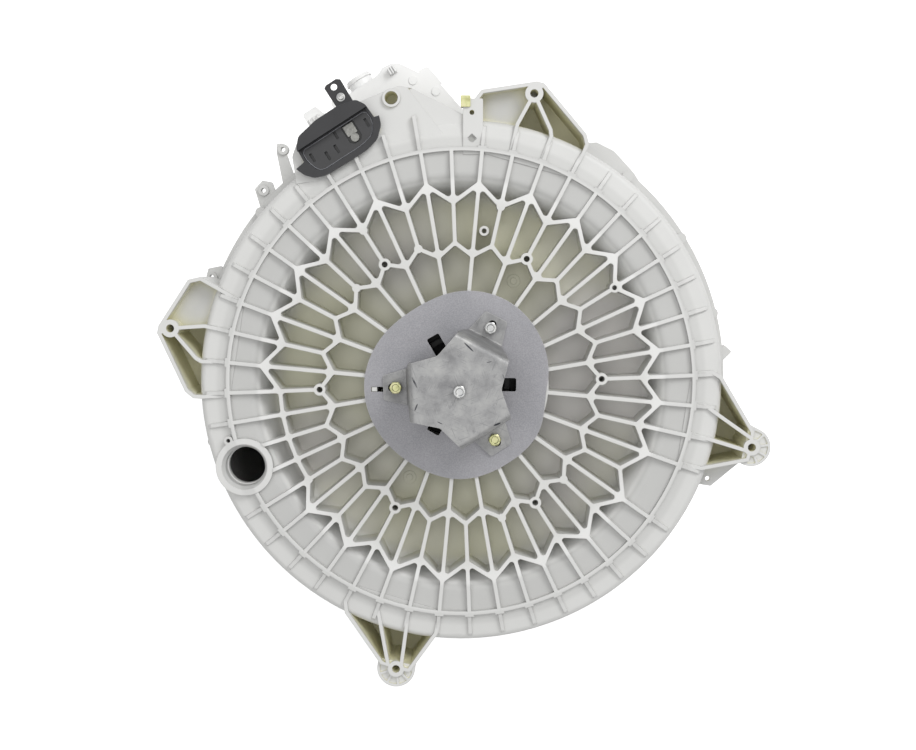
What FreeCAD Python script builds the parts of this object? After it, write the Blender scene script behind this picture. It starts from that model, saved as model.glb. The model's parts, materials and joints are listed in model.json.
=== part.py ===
import FreeCAD, Part
import math
import os
import re
import Sketcher

Vector = FreeCAD.Vector
Placement = FreeCAD.Placement

# Driving dimensions, millimetres and degrees.
# Heights that end in _depth are measured down from the plane of the rib tops.
SIZES = {
    "front_height": 360.0,
    "rear_height": 110.0,
    "wall": 3.5,
    "rim_radius": 284.0,
    "rim_round": 8.0,
    "rim_drop": 4.0,
    "floor_depth": 39.0,
    "bulge_foot_radius": 205.0,
    "bulge_foot_round": 9.0,
    "bulge_crest_radius": 221.0,
    "bulge_crest_depth": 7.0,
    "bulge_crest_round": 12.0,
    "spoke_count": 24,
    "clock_angle": 2.23,
    "rib": 4.2,
    "cell_round": 3.0,
    "collar_radius": 95.0,
    "collar_wall": 5.0,
    "inner_peak_radius": 152.3,
    "inner_valley_radius": 138.6,
    "outer_valley_radius": 195.1,
    "outer_peak_radius": 216.0,
    "ring_radius": 252.0,
    "ring_depth": 2.0,
    "fin_rise": 3.0,
    "fin_end_drop": 2.6,
    "fin_root_drop": 5.5,
    "knuckle_length": 10.0,
    "knuckle_width": 3.6,
    "knuckle_offset": 2.2,
    "fin_end_radius": 278.5,
    "floor_mark_radius": 7.2,
    "floor_mark_height": 0.5,
    "floor_pip_radius": 3.6,
    "floor_pip_height": 1.2,
    "stator_boss_count": 6,
    "stator_boss_radius": 6.5,
    "stator_hole_radius": 3.2,
    "stator_hole_length": 28.0,
    "node_boss_radius": 4.6,
    "small_boss_radius": 5.4,
    "small_hole_radius": 2.6,
    "port_radius": 251.8,
    "port_angle": 201.1,
    "port_flange_radius": 31.3,
    "port_mouth_radius": 24.9,
    "port_seat_radius": 21.7,
    "port_bore_radius": 20.2,
    "port_top_depth": 1.5,
    "port_cone_depth": 8.0,
    "port_seat_depth": 20.0,
    "port_end_depth": 28.0,
    "port_boss_turn": 7.3,
    "port_boss_circle": 259.6,
    "port_boss_radius": 5.0,
    "ear_top_depth": 6.0,
    "ear_floor_depth": 80.0,
    "ear_wall": 4.0,
    "spring_pocket_depth": 60.0,
    "side_pocket_depth": 18.0,
    "damper_pocket_depth": 64.0,
    "spring_ear_angle": 169.2,
    "damper_ear_angle": 257.3,
    "ear_hole_radius": 4.3,
    "spring_boss_radius": 9.7,
    "damper_boss_radius": 9.0,
    "damper_lobe_radius": 21.0,
    "damper_lobe_start": 316.0,
    "lobe_pocket_depth": 1.6,
    "up_angle": 122.5,
    "lobe_depth": 9.0,
    "lobe_floor_depth": 62.0,
    "deck_step": 1.6,
    "lobe_boss_radius": 9.8,
    "lobe_hole_radius": 7.0,
    "lobe_hole_length": 30.0,
    "deck_fin_end": 279.0,
    "strap_boss_height": 18.0,
    "strap_hole_length": 14.0,
    "flange_radius": 302.6,
    "flange_thickness": 6.0,
    "gasket_radius": 288.0,
    "gasket_width": 4.0,
    "gasket_groove_depth": 3.0,
    "seam_screw_count": 20,
    "seam_screw_circle": 296.1,
    "seam_screw_angle": 14.5,
    "seam_boss_radius": 6.3,
    "seam_boss_height": 18.0,
    "seam_screw_radius": 2.5,
    "seam_head_radius": 5.0,
    "seam_head_height": 4.0,
    "mouth_radius": 190.0,
    "mouth_wall": 5.0,
    "mouth_lip": 4.0,
    "front_wall_height": 24.0,
    "front_corner_round": 36.0,
    "front_rib_count": 24,
    "front_rib_rise": 5.0,
    "hoop_count": 3,
    "hoop_spacing": 78.0,
    "hoop_start": 112.0,
    "sump_height": 170.0,
    "sump_radius": 30.0,
    "sump_reach": 318.0,
    "hub_radius": 48.0,
    "hub_sleeve_wall": 6.0,
    "hub_end_depth": 98.0,
    "rear_bearing_depth": 8.0,
    "rear_bearing_bore": 15.0,
    "rear_bearing_radius": 31.0,
    "rear_bearing_width": 16.0,
    "front_bearing_depth": 67.0,
    "front_bearing_bore": 17.5,
    "front_bearing_radius": 36.0,
    "front_bearing_width": 17.0,
    "race_wall_share": 0.27,
    "ball_count": 9,
    "ball_clearance": 0.05,
    "cage_clearance": 0.3,
    "cage_rim": 1.0,
    "bearing_shoulder": 4.0,
    "seal_radius": 40.0,
    "seal_depth": 86.0,
    "seal_width": 9.0,
    "seal_clearance": 0.05,
    "journal_radius": 22.0,
    "shaft_body_radius": 16.6,
    "shaft_nose_radius": 12.5,
    "shaft_top": 80.0,
    "spline_count": 20,
    "spline_depth": 1.2,
    "spline_length": 34.0,
    "plate_thickness": 4.0,
    "plate_hole_radius": 32.0,
    "notch_start": 96.0,
    "notch_end": 80.0,
    "notch_width": 5.5,
    "notch_offset": 5.0,
    "locator_start": 95.2,
    "locator_end": 89.6,
    "locator_width": 4.6,
    "locator_rise": 0.5,
    "window_start": 34.0,
    "window_end": 60.0,
    "window_width": 14.6,
    "window_depth": 24.0,
    "bracket_bolt_circle": 138.6,
    "bracket_sheet": 3.0,
    "bracket_top": 85.0,
    "bracket_reach": 51.4,
    "bracket_half_edge": 29.6,
    "bracket_waist": 42.5,
    "bracket_bend": 6.0,
    "tab_start": 57.0,
    "tab_end": 83.0,
    "tab_half_width": 16.5,
    "tab_taper": 3.5,
    "tab_round": 3.0,
    "tab_slot_travel": 4.0,
    "bolt_clearance": 0.5,
    "bolt_radius": 4.0,
    "bolt_head_radius": 7.5,
    "bolt_head_height": 5.5,
    "bolt_flange_radius": 6.4,
    "bolt_flange_height": 1.5,
    "bolt_length": 22.0,
    "shaft_bolt_gap": 0.3,
    "shaft_bolt_length": 26.0,
    "drum_radius": 255.0,
    "drum_sheet": 1.0,
    "drum_back_depth": 142.0,
    "drum_front_height": 50.0,
    "drum_mouth_radius": 192.0,
    "drum_rim_fold": 15.0,
    "spider_hub_radius": 40.0,
    "spider_top_depth": 105.0,
    "spider_arm_radius": 246.0,
    "spider_arm_root": 50.0,
    "spider_arm_tip": 30.0,
    "spider_arm_root_height": 30.0,
    "spider_arm_tip_height": 14.0,
    "spider_pocket_start": 60.0,
    "spider_pocket_end": 200.0,
    "spider_wall": 8.0,
    "spider_floor": 6.0,
    "spider_screw_inset": 18.0,
    "spider_screw_spacing": 16.0,
    "spider_screw_radius": 3.0,
    "spider_screw_length": 10.0,
    "spider_head_radius": 6.5,
    "spider_head_height": 3.0,
    "lifter_height": 52.0,
    "lifter_base": 76.0,
    "lifter_crest": 22.0,
    "lifter_length": 230.0,
    "lifter_wall": 3.0,
    "nut_radius": 7.5,
    "nut_height": 6.5,
    "manifold_low": 135.0,
    "manifold_foot": 3.0,
    "manifold_turn_1": 9.0,
    "manifold_turn_2": 27.0,
    "manifold_screw_grip": 6.0,
    "manifold_wall": 2.5,
    "manifold_block_height": 6.0,
    "manifold_boss_radius": 5.0,
    "manifold_boss_height": 0.8,
    "manifold_fin": 1.8,
    "manifold_fin_height": 9.0,
    "spigot_radius": 14.5,
    "spigot_depth": 119.5,
    "spigot_side": 83.5,
    "spigot_start": 305.0,
    "spigot_end": 354.0,
    "spigot_bead": 2.5,
    "clip_wall": 2.5,
    "connector_height": 21.0,
    "connector_wall": 2.5,
    "connector_round": 9.0,
    "connector_lip": 3.0,
    "connector_split": 301.8,
    "block_height": 7.5,
    "slot_length": 10.0,
    "slot_width": 3.2,
    "slot_depth": 4.0,
    "pocket_depth": 5.0,
    "latch_height": 2.2,
    "stud_radius": 4.6,
    "stud_height": 3.6,
    "socket_radius": 2.2,
    "socket_floor": 1.0,
    "tab_thickness": 3.0,
    "tab_hole_radius": 3.6,
    "small_screw_radius": 2.2,
    "small_screw_head": 5.2,
    "small_screw_head_height": 2.4,
    "small_screw_length": 16.0,
    "running_gap": 0.3,
}

document = FreeCAD.newDocument("outer_tub")
sheet = document.addObject("Spreadsheet::Sheet", "Sizes")
for row, (alias, number) in enumerate(SIZES.items(), start=1):
    sheet.set(f"A{row}", alias)
    sheet.set(f"B{row}", str(number))
    sheet.setAlias(f"B{row}", alias)
document.recompute()

NAMES = re.compile(r"\b(" + "|".join(sorted(SIZES, key=len, reverse=True)) + r")\b")


def bound(expression):
    """An expression on the sheet's names, as another object has to spell it."""
    return NAMES.sub(r"Sizes.\1", str(expression))


def size(expression):
    """The value of an expression on the sheet's names."""
    return float(sheet.evalExpression(NAMES.sub(r"\1", str(expression))))


# Levels that many pieces share, as expressions on the sheet.
RIB_PLANE = "(front_height + rear_height)"


def level(depth):
    """A height as an expression, from a depth under the rib tops."""
    return f"({RIB_PLANE} - ({depth}))"


def polar(radius, angle, height=0.0):
    turn = math.radians(angle)
    return Vector(radius * math.cos(turn), radius * math.sin(turn), height)


def origin_plane(body, role):
    """A plane or an axis of the body's own origin, by its role."""
    for feature in body.Origin.OriginFeatures:
        if feature.Role == role:
            return feature
    raise ValueError(role)


def pin_point(sketch, index, end, across, along):
    """Bind one sketch point to two expressions measured from the origin."""
    for kind, axis, expression in (("DistanceX", -2, across), ("DistanceY", -1, along)):
        value = size(expression)
        if abs(value) < 1e-9:
            sketch.addConstraint(Sketcher.Constraint("PointOnObject", index, end, axis))
            continue
        place = sketch.addConstraint(Sketcher.Constraint(kind, -1, 1, index, end, value))
        sketch.setExpression(f"Constraints[{place}]", bound(expression))


def outline_sketch(body, role, corners):
    """A closed outline whose corners are pairs of expressions."""
    sketch = body.newObject("Sketcher::SketchObject", body.Name + "_outline")
    sketch.AttachmentSupport = [(origin_plane(body, role), "")]
    sketch.MapMode = "FlatFace"
    points = [Vector(size(across), size(along), 0) for across, along in corners]
    count = len(points)
    for index in range(count):
        sketch.addGeometry(Part.LineSegment(points[index], points[(index + 1) % count]), False)
    for index in range(count):
        joint = Sketcher.Constraint("Coincident", index, 2, (index + 1) % count, 1)
        sketch.addConstraint(joint)
    for index, (across, along) in enumerate(corners):
        pin_point(sketch, index, 1, across, along)
    return sketch


def lathe(label, corners):
    """A body turned about the tub's axis from corners (radius, height)."""
    body = document.addObject("PartDesign::Body", label)
    body.Label = label
    sketch = outline_sketch(body, "XZ_Plane", corners)
    turned = body.newObject("PartDesign::Revolution", label + "_turned")
    turned.Profile = sketch
    turned.ReferenceAxis = (sketch, ["V_Axis"])
    turned.Angle = 360.0
    body.Tip = turned
    document.recompute()
    return body


def drill(body, name, circle, angle, radius, start, depth, count="1"):
    """Blind or through holes along Z on a circle, cut downwards from a level."""
    sketch = body.newObject("Sketcher::SketchObject", name + "_circle")
    sketch.AttachmentSupport = [(origin_plane(body, "XY_Plane"), "")]
    sketch.MapMode = "FlatFace"
    sketch.setExpression("AttachmentOffset.Base.z", bound(start))
    across = f"({circle}) * cos({angle})"
    along = f"({circle}) * sin({angle})"
    centre = Vector(size(across), size(along), 0)
    sketch.addGeometry(Part.Circle(centre, Vector(0, 0, 1), size(radius)), False)
    pin_point(sketch, 0, 3, across, along)
    ring = sketch.addConstraint(Sketcher.Constraint("Radius", 0, size(radius)))
    sketch.setExpression(f"Constraints[{ring}]", bound(radius))
    document.recompute()
    before = body.Shape.Volume
    pocket = body.newObject("PartDesign::Pocket", name + "_holes")
    pocket.Profile = sketch
    pocket.setExpression("Length", bound(depth))
    body.Tip = pocket
    document.recompute()
    if abs(before - body.Shape.Volume) < 1e-3:
        pocket.Reversed = True
        document.recompute()
    if size(count) > 1:
        pattern = body.newObject("PartDesign::PolarPattern", name + "_pattern")
        pattern.Originals = [pocket]
        pattern.Axis = (origin_plane(body, "Z_Axis"), [""])
        pattern.Angle = 360.0
        pattern.setExpression("Occurrences", bound(count))
        body.Tip = pattern
        document.recompute()
    return body


def formed(label, shape):
    """A sub-part whose shape comes from the modelling functions below."""
    feature = document.addObject("Part::Feature", label)
    feature.Label = label
    feature.Shape = shape
    feature.Placement = Placement()
    return feature


def meet(point_a, way_a, point_b, way_b):
    cross = way_a.x * way_b.y - way_a.y * way_b.x
    if abs(cross) < 1e-9:
        return point_b
    gap = point_b - point_a
    reach = (gap.x * way_b.y - gap.y * way_b.x) / cross
    return point_a + way_a * reach


def inset(points, distance):
    """A closed loop, counter-clockwise, moved inwards by a distance."""
    count = len(points)
    lines = []
    for index in range(count):
        start, end = points[index], points[(index + 1) % count]
        way = (end - start).normalize()
        side = Vector(-way.y, way.x, 0) * distance
        lines.append((start + side, way))
    return [meet(*lines[index - 1], *lines[index]) for index in range(count)]


def counter_clockwise(points):
    area = 0.0
    for index, point in enumerate(points):
        after = points[(index + 1) % len(points)]
        area += point.x * after.y - point.y * after.x
    return points if area > 0 else points[::-1]


def loop_wire(points, radii, height=0.0):
    """A closed wire through points in the XY plane, its corners rounded."""
    if isinstance(radii, (int, float)):
        radii = [radii] * len(points)
    count = len(points)
    entries, exits, arcs = [], [], []
    for index in range(count):
        corner = points[index]
        back = (points[index - 1] - corner).normalize()
        ahead = (points[(index + 1) % count] - corner).normalize()
        turn = back.getAngle(ahead)
        radius = radii[index]
        if radius <= 0 or turn > math.pi - 1e-3:
            entries.append(corner)
            exits.append(corner)
            arcs.append(None)
            continue
        cut = radius / math.tan(turn / 2)
        middle = (back + ahead).normalize()
        entries.append(corner + back * cut)
        exits.append(corner + ahead * cut)
        arcs.append(corner + middle * (radius / math.sin(turn / 2) - radius))
    lift = Vector(0, 0, height)
    edges = []
    for index in range(count):
        if arcs[index] is not None:
            arc = Part.Arc(entries[index] + lift, arcs[index] + lift, exits[index] + lift)
            edges.append(arc.toShape())
        start, end = exits[index], entries[(index + 1) % count]
        if (end - start).Length > 1e-6:
            edges.append(Part.LineSegment(start + lift, end + lift).toShape())
    return Part.Wire(edges)


def prism(points, radii, low, high):
    face = Part.Face(loop_wire(points, radii, low))
    return face.extrude(Vector(0, 0, high - low))


def turned_solid(corners, radii):
    """A solid of revolution about Z from corners (radius, height)."""
    wire = loop_wire([Vector(radius, height, 0) for radius, height in corners], radii)
    face = Part.Face(wire)
    face.rotate(Vector(0, 0, 0), Vector(1, 0, 0), 90)
    return face.revolve(Vector(0, 0, 0), Vector(0, 0, 1), 360)


def post(centre, radius, low, high):
    base = Vector(centre.x, centre.y, low)
    return Part.makeCylinder(radius, high - low, base)


# Values that the moulded shells share.
rib_plane = size(RIB_PLANE)
seam = size("front_height")
wall = size("wall")
clock = size("clock_angle")
spokes = int(size("spoke_count"))
pitch = 360.0 / spokes
floor_top = size(level("floor_depth"))
ear_top = size(level("ear_top_depth"))
ear_floor = size(level("ear_floor_depth"))
spring_angle = size("spring_ear_angle")
damper_angle = size("damper_ear_angle")
up_angle = size("up_angle")


def offset_chain(points, distance):
    """An open chain of points moved to its right-hand side."""
    lines = []
    for start, end in zip(points, points[1:]):
        way = (end - start).normalize()
        lines.append((start + Vector(way.y, -way.x, 0) * distance, way))
    moved = [meet(*before, *after) for before, after in zip(lines, lines[1:])]
    first = lines[0][0]
    last = lines[-1][0] + lines[-1][1] * (points[-1] - points[-2]).Length
    return [first] + moved + [last]


def skin_chain(depth_inside):
    """Half section of the rear skin from the hub to the seam, sunk by a depth."""
    outer = [
        Vector(size("hub_radius"), floor_top, 0),
        Vector(size("bulge_foot_radius"), floor_top, 0),
        Vector(size("bulge_crest_radius"), size(level("bulge_crest_depth")), 0),
        Vector(size("ring_radius"), size(level("bulge_crest_depth")), 0),
        Vector(size("rim_radius"), size(level("bulge_crest_depth + rim_drop")), 0),
        Vector(size("rim_radius"), seam, 0),
    ]
    radii = [0, size("bulge_foot_round"), size("bulge_crest_round"), 0, size("rim_round"), 0]
    signs = [0, 1, -1, 0, -1, 0]
    moved = offset_chain(outer, depth_inside)
    rounds = [radius + sign * depth_inside for radius, sign in zip(radii, signs)]
    return moved, rounds


def rear_skin():
    """Floor, toroidal bulge, rim and side wall, with the seam flange."""
    outer, outer_rounds = skin_chain(0.0)
    inner, inner_rounds = skin_chain(wall)
    flange = size("flange_radius")
    thick = size("flange_thickness")
    rim = size("rim_radius")
    foot = [Vector(rim, seam + thick, 0), Vector(flange, seam + thick, 0), Vector(flange, seam, 0)]
    points = outer[:-1] + foot + inner[::-1]
    rounds = outer_rounds[:-1] + [0, 0, 0] + inner_rounds[::-1]
    return turned_solid([(point.x, point.y) for point in points], rounds)


def rear_core():
    """What lies under the middle of the rear skin."""
    middle, rounds = skin_chain(wall / 2)
    points = [Vector(0, middle[0].y, 0)] + middle + [Vector(0, seam, 0)]
    return turned_solid([(point.x, point.y) for point in points], [0] + rounds + [0])


def rib_blank():
    """The ring of material that the rib cells are cut from."""
    middle, rounds = skin_chain(wall / 2)
    crest = size(level("bulge_crest_depth"))
    flat_end = size("rim_radius - rim_round")
    fin_end = size("fin_end_radius")
    start = Vector(size("collar_radius") - size("collar_wall") / 2, middle[0].y, 0)
    share = (flat_end - middle[3].x) / (middle[4].x - middle[3].x)
    shoulder = middle[3] + (middle[4] - middle[3]) * share
    points = [start, middle[1], middle[2], middle[3], shoulder]
    points += [Vector(fin_end, crest - size("fin_root_drop"), 0)]
    points += [Vector(fin_end, crest - size("fin_end_drop"), 0)]
    points += [Vector(flat_end, shoulder.y + wall / 2 + size("fin_rise"), 0)]
    points += [Vector(size("ring_radius"), rib_plane - size("ring_depth"), 0)]
    points += [Vector(size("outer_peak_radius") + size("rib"), rib_plane, 0)]
    points += [Vector(start.x, rib_plane, 0)]
    radii = [0, rounds[1], rounds[2]] + [0] * 8
    return turned_solid([(point.x, point.y) for point in points], radii)


def collar(radius, thickness, low, high):
    outer = Part.makeCylinder(radius, high - low, Vector(0, 0, low))
    return outer.cut(Part.makeCylinder(radius - thickness, high - low, Vector(0, 0, low)))


def cell_tool(points):
    """The hollow between rib centre lines."""
    loop = inset(counter_clockwise(points), size("rib") / 2)
    return prism(loop, size("cell_round"), floor_top - wall, rib_plane + wall)


def spoke_angle(half_step):
    return clock + half_step * pitch / 2


# Half steps are counted counter-clockwise from the first spoke. Even ones hold
# the outer valleys and inner peaks, odd ones the outer peaks and inner valleys.
PORT_SMOOTH_STEPS = (25, 27)
MISSING_RIB_STEP = 44
LOBE_STEPS = (12, 17)
DECK_FIN_STEPS = (14, 15, 16)


def outer_node(step):
    step %= 2 * spokes
    if step % 2 == 0 or step in PORT_SMOOTH_STEPS:
        return polar(size("outer_valley_radius"), spoke_angle(step))
    return polar(size("outer_peak_radius"), spoke_angle(step))


def inner_node(step):
    radius = "inner_peak_radius" if step % 2 == 0 else "inner_valley_radius"
    return polar(size(radius), spoke_angle(step))


def rib_cells():
    """Hub cells, diamond cells between the zigzags, and rim cells."""
    start = size("collar_radius") - size("collar_wall")
    beyond = size("rim_radius") + size("rim_round")
    first, last = (spoke_angle(step - 0.5) for step in LOBE_STEPS)
    clear = size("ring_radius") + size("rib") / 2
    angles = [first + index * (last - first) / 8 for index in range(9)]
    sector = [polar(clear, angle) for angle in angles] + [polar(beyond, angle) for angle in angles[::-1]]
    tools = [prism(sector, 0, floor_top - wall, rib_plane + wall)]
    for step in range(2 * spokes):
        after = step + 1
        diamond = [inner_node(step), outer_node(step), outer_node(after), inner_node(after)]
        tools.append(cell_tool(diamond))
        if step % 2:
            tools.append(cell_tool([polar(start, spoke_angle(step)), inner_node(step),
                                    inner_node(step + 1), inner_node(step + 2),
                                    polar(start, spoke_angle(step + 2))]))
        if step == MISSING_RIB_STEP - 1:
            tools.append(cell_tool([outer_node(step), polar(beyond, spoke_angle(step)),
                                    polar(beyond, spoke_angle(step + 2)), outer_node(step + 2),
                                    outer_node(step + 1)]))
        elif step != MISSING_RIB_STEP:
            tools.append(cell_tool([outer_node(step), polar(beyond, spoke_angle(step)),
                                    polar(beyond, spoke_angle(after)), outer_node(after)]))
    return tools


def local_to_tub(points, angle, mirrored):
    """Turn (outward, sideways) pairs at a rim angle into tub coordinates."""
    outward = polar(1, angle)
    sideways = Vector(-outward.y, outward.x, 0) * (-1 if mirrored else 1)
    return [outward * out + sideways * side for out, side in points]


SPRING_OUTLINE = [(248, -42), (279, -53), (297, -59), (308.5, -54), (331, 0), (331, 7),
                  (291, 63), (282, 68), (274, 67), (245, 60)]
SPRING_RIBS = [[(251.8, -8.8), (284.3, -9.4), (320, 0)],
               [(250.8, 24.3), (280.5, 29), (287, 26.6), (320, 0)]]
DAMPER_RIBS = [[(243.3, -65.5), (262.7, -70.4), (273.5, -66.7), (320, -17)],
               [(249.8, -33.2), (262.6, -34.1), (322, -9)],
               [(252, -0.3), (268.6, 0.5), (322, 5)],
               [(249.9, 32.6), (274.6, 34.2), (322, 14)]]


def ear(cells, outline, angle, mirrored, pocket_depths):
    """An ear of upright walls round pockets, open above and below their webs."""
    outline = counter_clockwise(local_to_tub(outline, angle, mirrored))
    body = prism(inset(outline, -size("ear_wall") / 2), 2.0, ear_floor, ear_top)
    half = size("ear_wall") / 2
    for cell, depth in zip(cells, pocket_depths):
        cell = inset(counter_clockwise(local_to_tub(cell, angle, mirrored)), half)
        web_top = ear_top - size(depth)
        body = body.cut(prism(cell, 0, web_top, ear_top + wall))
        if web_top - wall > ear_floor + wall:
            body = body.cut(prism(cell, 0, ear_floor - wall, web_top - wall))
    return body


def spring_ear(angle, mirrored):
    first, second = SPRING_RIBS
    cells = [SPRING_OUTLINE[:5] + first[::-1],
             first + second[::-1][1:],
             second + SPRING_OUTLINE[5:]]
    depths = ["side_pocket_depth", "spring_pocket_depth", "spring_pocket_depth"]
    body = ear(cells, SPRING_OUTLINE, angle, mirrored, depths)
    centre = local_to_tub([(320, 0)], angle, mirrored)[0]
    body = body.fuse(post(centre, size("spring_boss_radius"), ear_floor, ear_top))
    return body.cut(post(centre, size("ear_hole_radius"), ear_floor - wall, ear_top + wall))


def damper_ear(angle, mirrored, side_web):
    outline = DAMPER_RIBS[0] + DAMPER_RIBS[3][::-1]
    cells = [near + far[::-1] for near, far in zip(DAMPER_RIBS, DAMPER_RIBS[1:])]
    body = ear(cells, outline, angle, mirrored, ["damper_pocket_depth"] * len(cells))
    centre = local_to_tub([(323.4, 0)], angle, mirrored)[0]
    lobe_top = ear_top - size("ear_wall")
    near, far = size("damper_lobe_start") - size("damper_lobe_radius"), size("damper_lobe_start")
    side = 2 * size("damper_lobe_radius")
    inward = local_to_tub([(near, -side), (far, -side), (far, side), (near, side)], angle, mirrored)
    disc = post(centre, size("damper_lobe_radius"), ear_floor, lobe_top)
    body = body.fuse(disc.cut(prism(counter_clockwise(inward), 0, ear_floor, lobe_top)))
    for pocket in lobe_pockets(angle, mirrored):
        body = body.cut(pocket)
    body = body.fuse(post(centre, size("damper_boss_radius"), ear_floor, ear_top))
    if side_web:
        web = local_to_tub([(262, 30), (273, 56), (297, 55), (324, 20)], angle, mirrored)
        web_top = (ear_top + ear_floor) / 2
        body = body.fuse(prism(counter_clockwise(web), 2.0, web_top - wall, web_top))
        eye = local_to_tub([(291.8, 47.5)], angle, mirrored)[0]
        body = body.cut(post(eye, size("small_hole_radius"), ear_floor, ear_top))
    return body.cut(post(centre, size("ear_hole_radius"), ear_floor - wall, ear_top + wall))


def lobe_pockets(angle, mirrored):
    """Shallow wedge pockets round the outside of a damper lobe."""
    centre = local_to_tub([(323.4, 0)], angle, mirrored)[0]
    inner = size("damper_boss_radius") + 1.5
    outer = size("damper_lobe_radius") - 2.5
    pockets = []
    for turn in (-76, -38, 0, 38, 76):
        corners = []
        for radius, side in ((inner, -11), (outer, -15), (outer, 15), (inner, 11)):
            corners.append(centre + polar(radius, angle + turn + side))
        low = ear_top - size("ear_wall") - size("lobe_pocket_depth")
        pockets.append(prism(counter_clockwise(corners), 1.0, low, ear_top))
    return pockets


# Outlines at the machine's upper side are pairs (upwards, sideways).
LOBE_OUTLINE = [(276, -33), (303, -21), (313, -8), (316, 20), (314, 48), (334, 50), (334, 64),
                (314, 66), (304.4, 115.7), (295.7, 125.5), (242, 157.4), (229.4, 172.2), (195.7, 150.7)]
LOBE_ROUNDS = [0, 8, 6, 0, 2, 3, 3, 2, 6, 6, 3, 3, 0]
LOBE_BOSS_PLACE = Vector(-73.9, 305.8, 0)
LOBE_RIB_LINE = [Vector(-49.9, 287, 0), Vector(-43.5, 249, 0)]
STRAP_OUTLINE = [Vector(2.6, 246, 0), Vector(24, 246, 0), Vector(24, 305, 0), Vector(2.6, 305, 0)]
DECK_STEP_OUTLINE = [Vector(-56, 316, 0), Vector(-8.5, 255, 0), Vector(10, 255, 0), Vector(40, 330, 0)]
STRAP_HOLE_PLACE = Vector(12.2, 290.4, 0)
STRAP_DIAMOND_PLACE = Vector(12.2, 263, 0)
CLIP_OUTLINE = [Vector(0.2, 296, 0), Vector(10.6, 296, 0), Vector(10.6, 308, 0), Vector(0.2, 308, 0)]


def upper_side(pairs):
    """Points at the machine's upper side, counter-clockwise."""
    return local_to_tub(pairs, up_angle, True)[::-1]


SCREW_PLACE = (327.1, 57.1)
EYE_PLACE = (340.1, 56.6)
TAB_OUTLINE = [(316, 47.5), (344, 47.2), (346, 50), (346, 63), (343.2, 66.8), (316, 66)]
CONNECTOR_OUTLINE = [(288, -13), (304, -12), (314, -3), (318.5, 22), (318.5, 48), (314, 69),
                     (304, 75), (288, 76), (273, 67), (268.5, 50), (268.5, 0), (273, -8)]


def connector_seat():
    """Room for the connector on the deck of the lobe."""
    outline = inset(upper_side(CONNECTOR_OUTLINE), -size("running_gap"))
    rounding = size("connector_round") + size("running_gap")
    return prism(outline, rounding, size(level("lobe_depth")), rib_plane + wall)


def duct_lobe():
    """The hollow extension of the rear half at the machine's upper side."""
    top = size(level("lobe_depth"))
    low = size(level("lobe_floor_depth"))
    outline = upper_side(LOBE_OUTLINE)
    rounds = LOBE_ROUNDS[::-1]
    body = prism(outline, rounds, low, top)
    hollow = [max(radius - wall, 0) for radius in rounds]
    body = body.cut(prism(inset(outline, wall), hollow, low - wall, top - wall))
    screw_at = upper_side([SCREW_PLACE])[0]
    body = body.fuse(post(screw_at, size("small_boss_radius"), low, top - wall / 2))
    step_low = top - size("deck_step")
    body = body.cut(prism(DECK_STEP_OUTLINE, 0, step_low, top))
    body = body.fuse(post(LOBE_BOSS_PLACE, size("lobe_boss_radius"), low, top + wall))
    body = body.fuse(upright(LOBE_RIB_LINE, size("rib"), top - wall, ear_top + wall))
    for step in DECK_FIN_STEPS:
        line = [polar(size(end), spoke_angle(step)) for end in ("ring_radius", "deck_fin_end")]
        body = body.fuse(upright(line, size("rib"), top - wall, rib_plane - size("ring_depth")))
    body = body.fuse(strap())
    body = body.fuse(post(STRAP_HOLE_PLACE, size("small_boss_radius"),
                          ear_top - size("strap_boss_height"), ear_top))
    hole_floor = top + wall - size("lobe_hole_length")
    body = body.cut(post(LOBE_BOSS_PLACE, size("lobe_hole_radius"), hole_floor, rib_plane))
    body = body.cut(post(screw_at, size("small_screw_radius"), top - size("small_screw_length"), top))
    body = body.cut(post(STRAP_HOLE_PLACE, size("small_hole_radius"),
                         ear_top - size("strap_hole_length"), rib_plane))
    diamond = [STRAP_DIAMOND_PLACE + polar(2 * size("small_hole_radius"), turn)
               for turn in (0, 90, 180, 270)]
    return body.cut(prism(diamond, 0.8, low, rib_plane))


def strap():
    """The plate that stands from the rim beside the lobe."""
    return prism(STRAP_OUTLINE, 1.5, size(level("lobe_depth")) - wall, ear_top)


def strap_clip():
    """A small clip pushed over the strap's end."""
    rise = size("clip_wall")
    low = size(level("lobe_depth")) - wall - rise
    return prism(CLIP_OUTLINE, 1.0, low, ear_top + rise).cut(strap())


def upright(line, thickness, low, high):
    """A straight upright rib along a line of two points."""
    way = (line[1] - line[0]).normalize()
    side = Vector(-way.y, way.x, 0) * (thickness / 2)
    return prism([line[0] - side, line[1] - side, line[1] + side, line[0] + side], 0, low, high)


FLOOR_MARK_PLACES = [Vector(58, 111, 0), Vector(-57, -107, 0)]


def floor_marks():
    """Faint round steps on two cell floors."""
    marks = []
    for centre in FLOOR_MARK_PLACES:
        for name in ("floor_mark", "floor_pip"):
            high = floor_top + size(name + "_height")
            marks.append(post(centre, size(name + "_radius"), floor_top - wall / 2, high))
    return marks


def locator():
    """The short rib that stands in the hub plate's notch."""
    line = [Vector(-size(end), -size("notch_offset"), 0) for end in ("locator_start", "locator_end")]
    high = rib_plane + size("plate_thickness") + size("locator_rise")
    return upright(line, size("locator_width"), rib_plane - wall, high)


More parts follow.
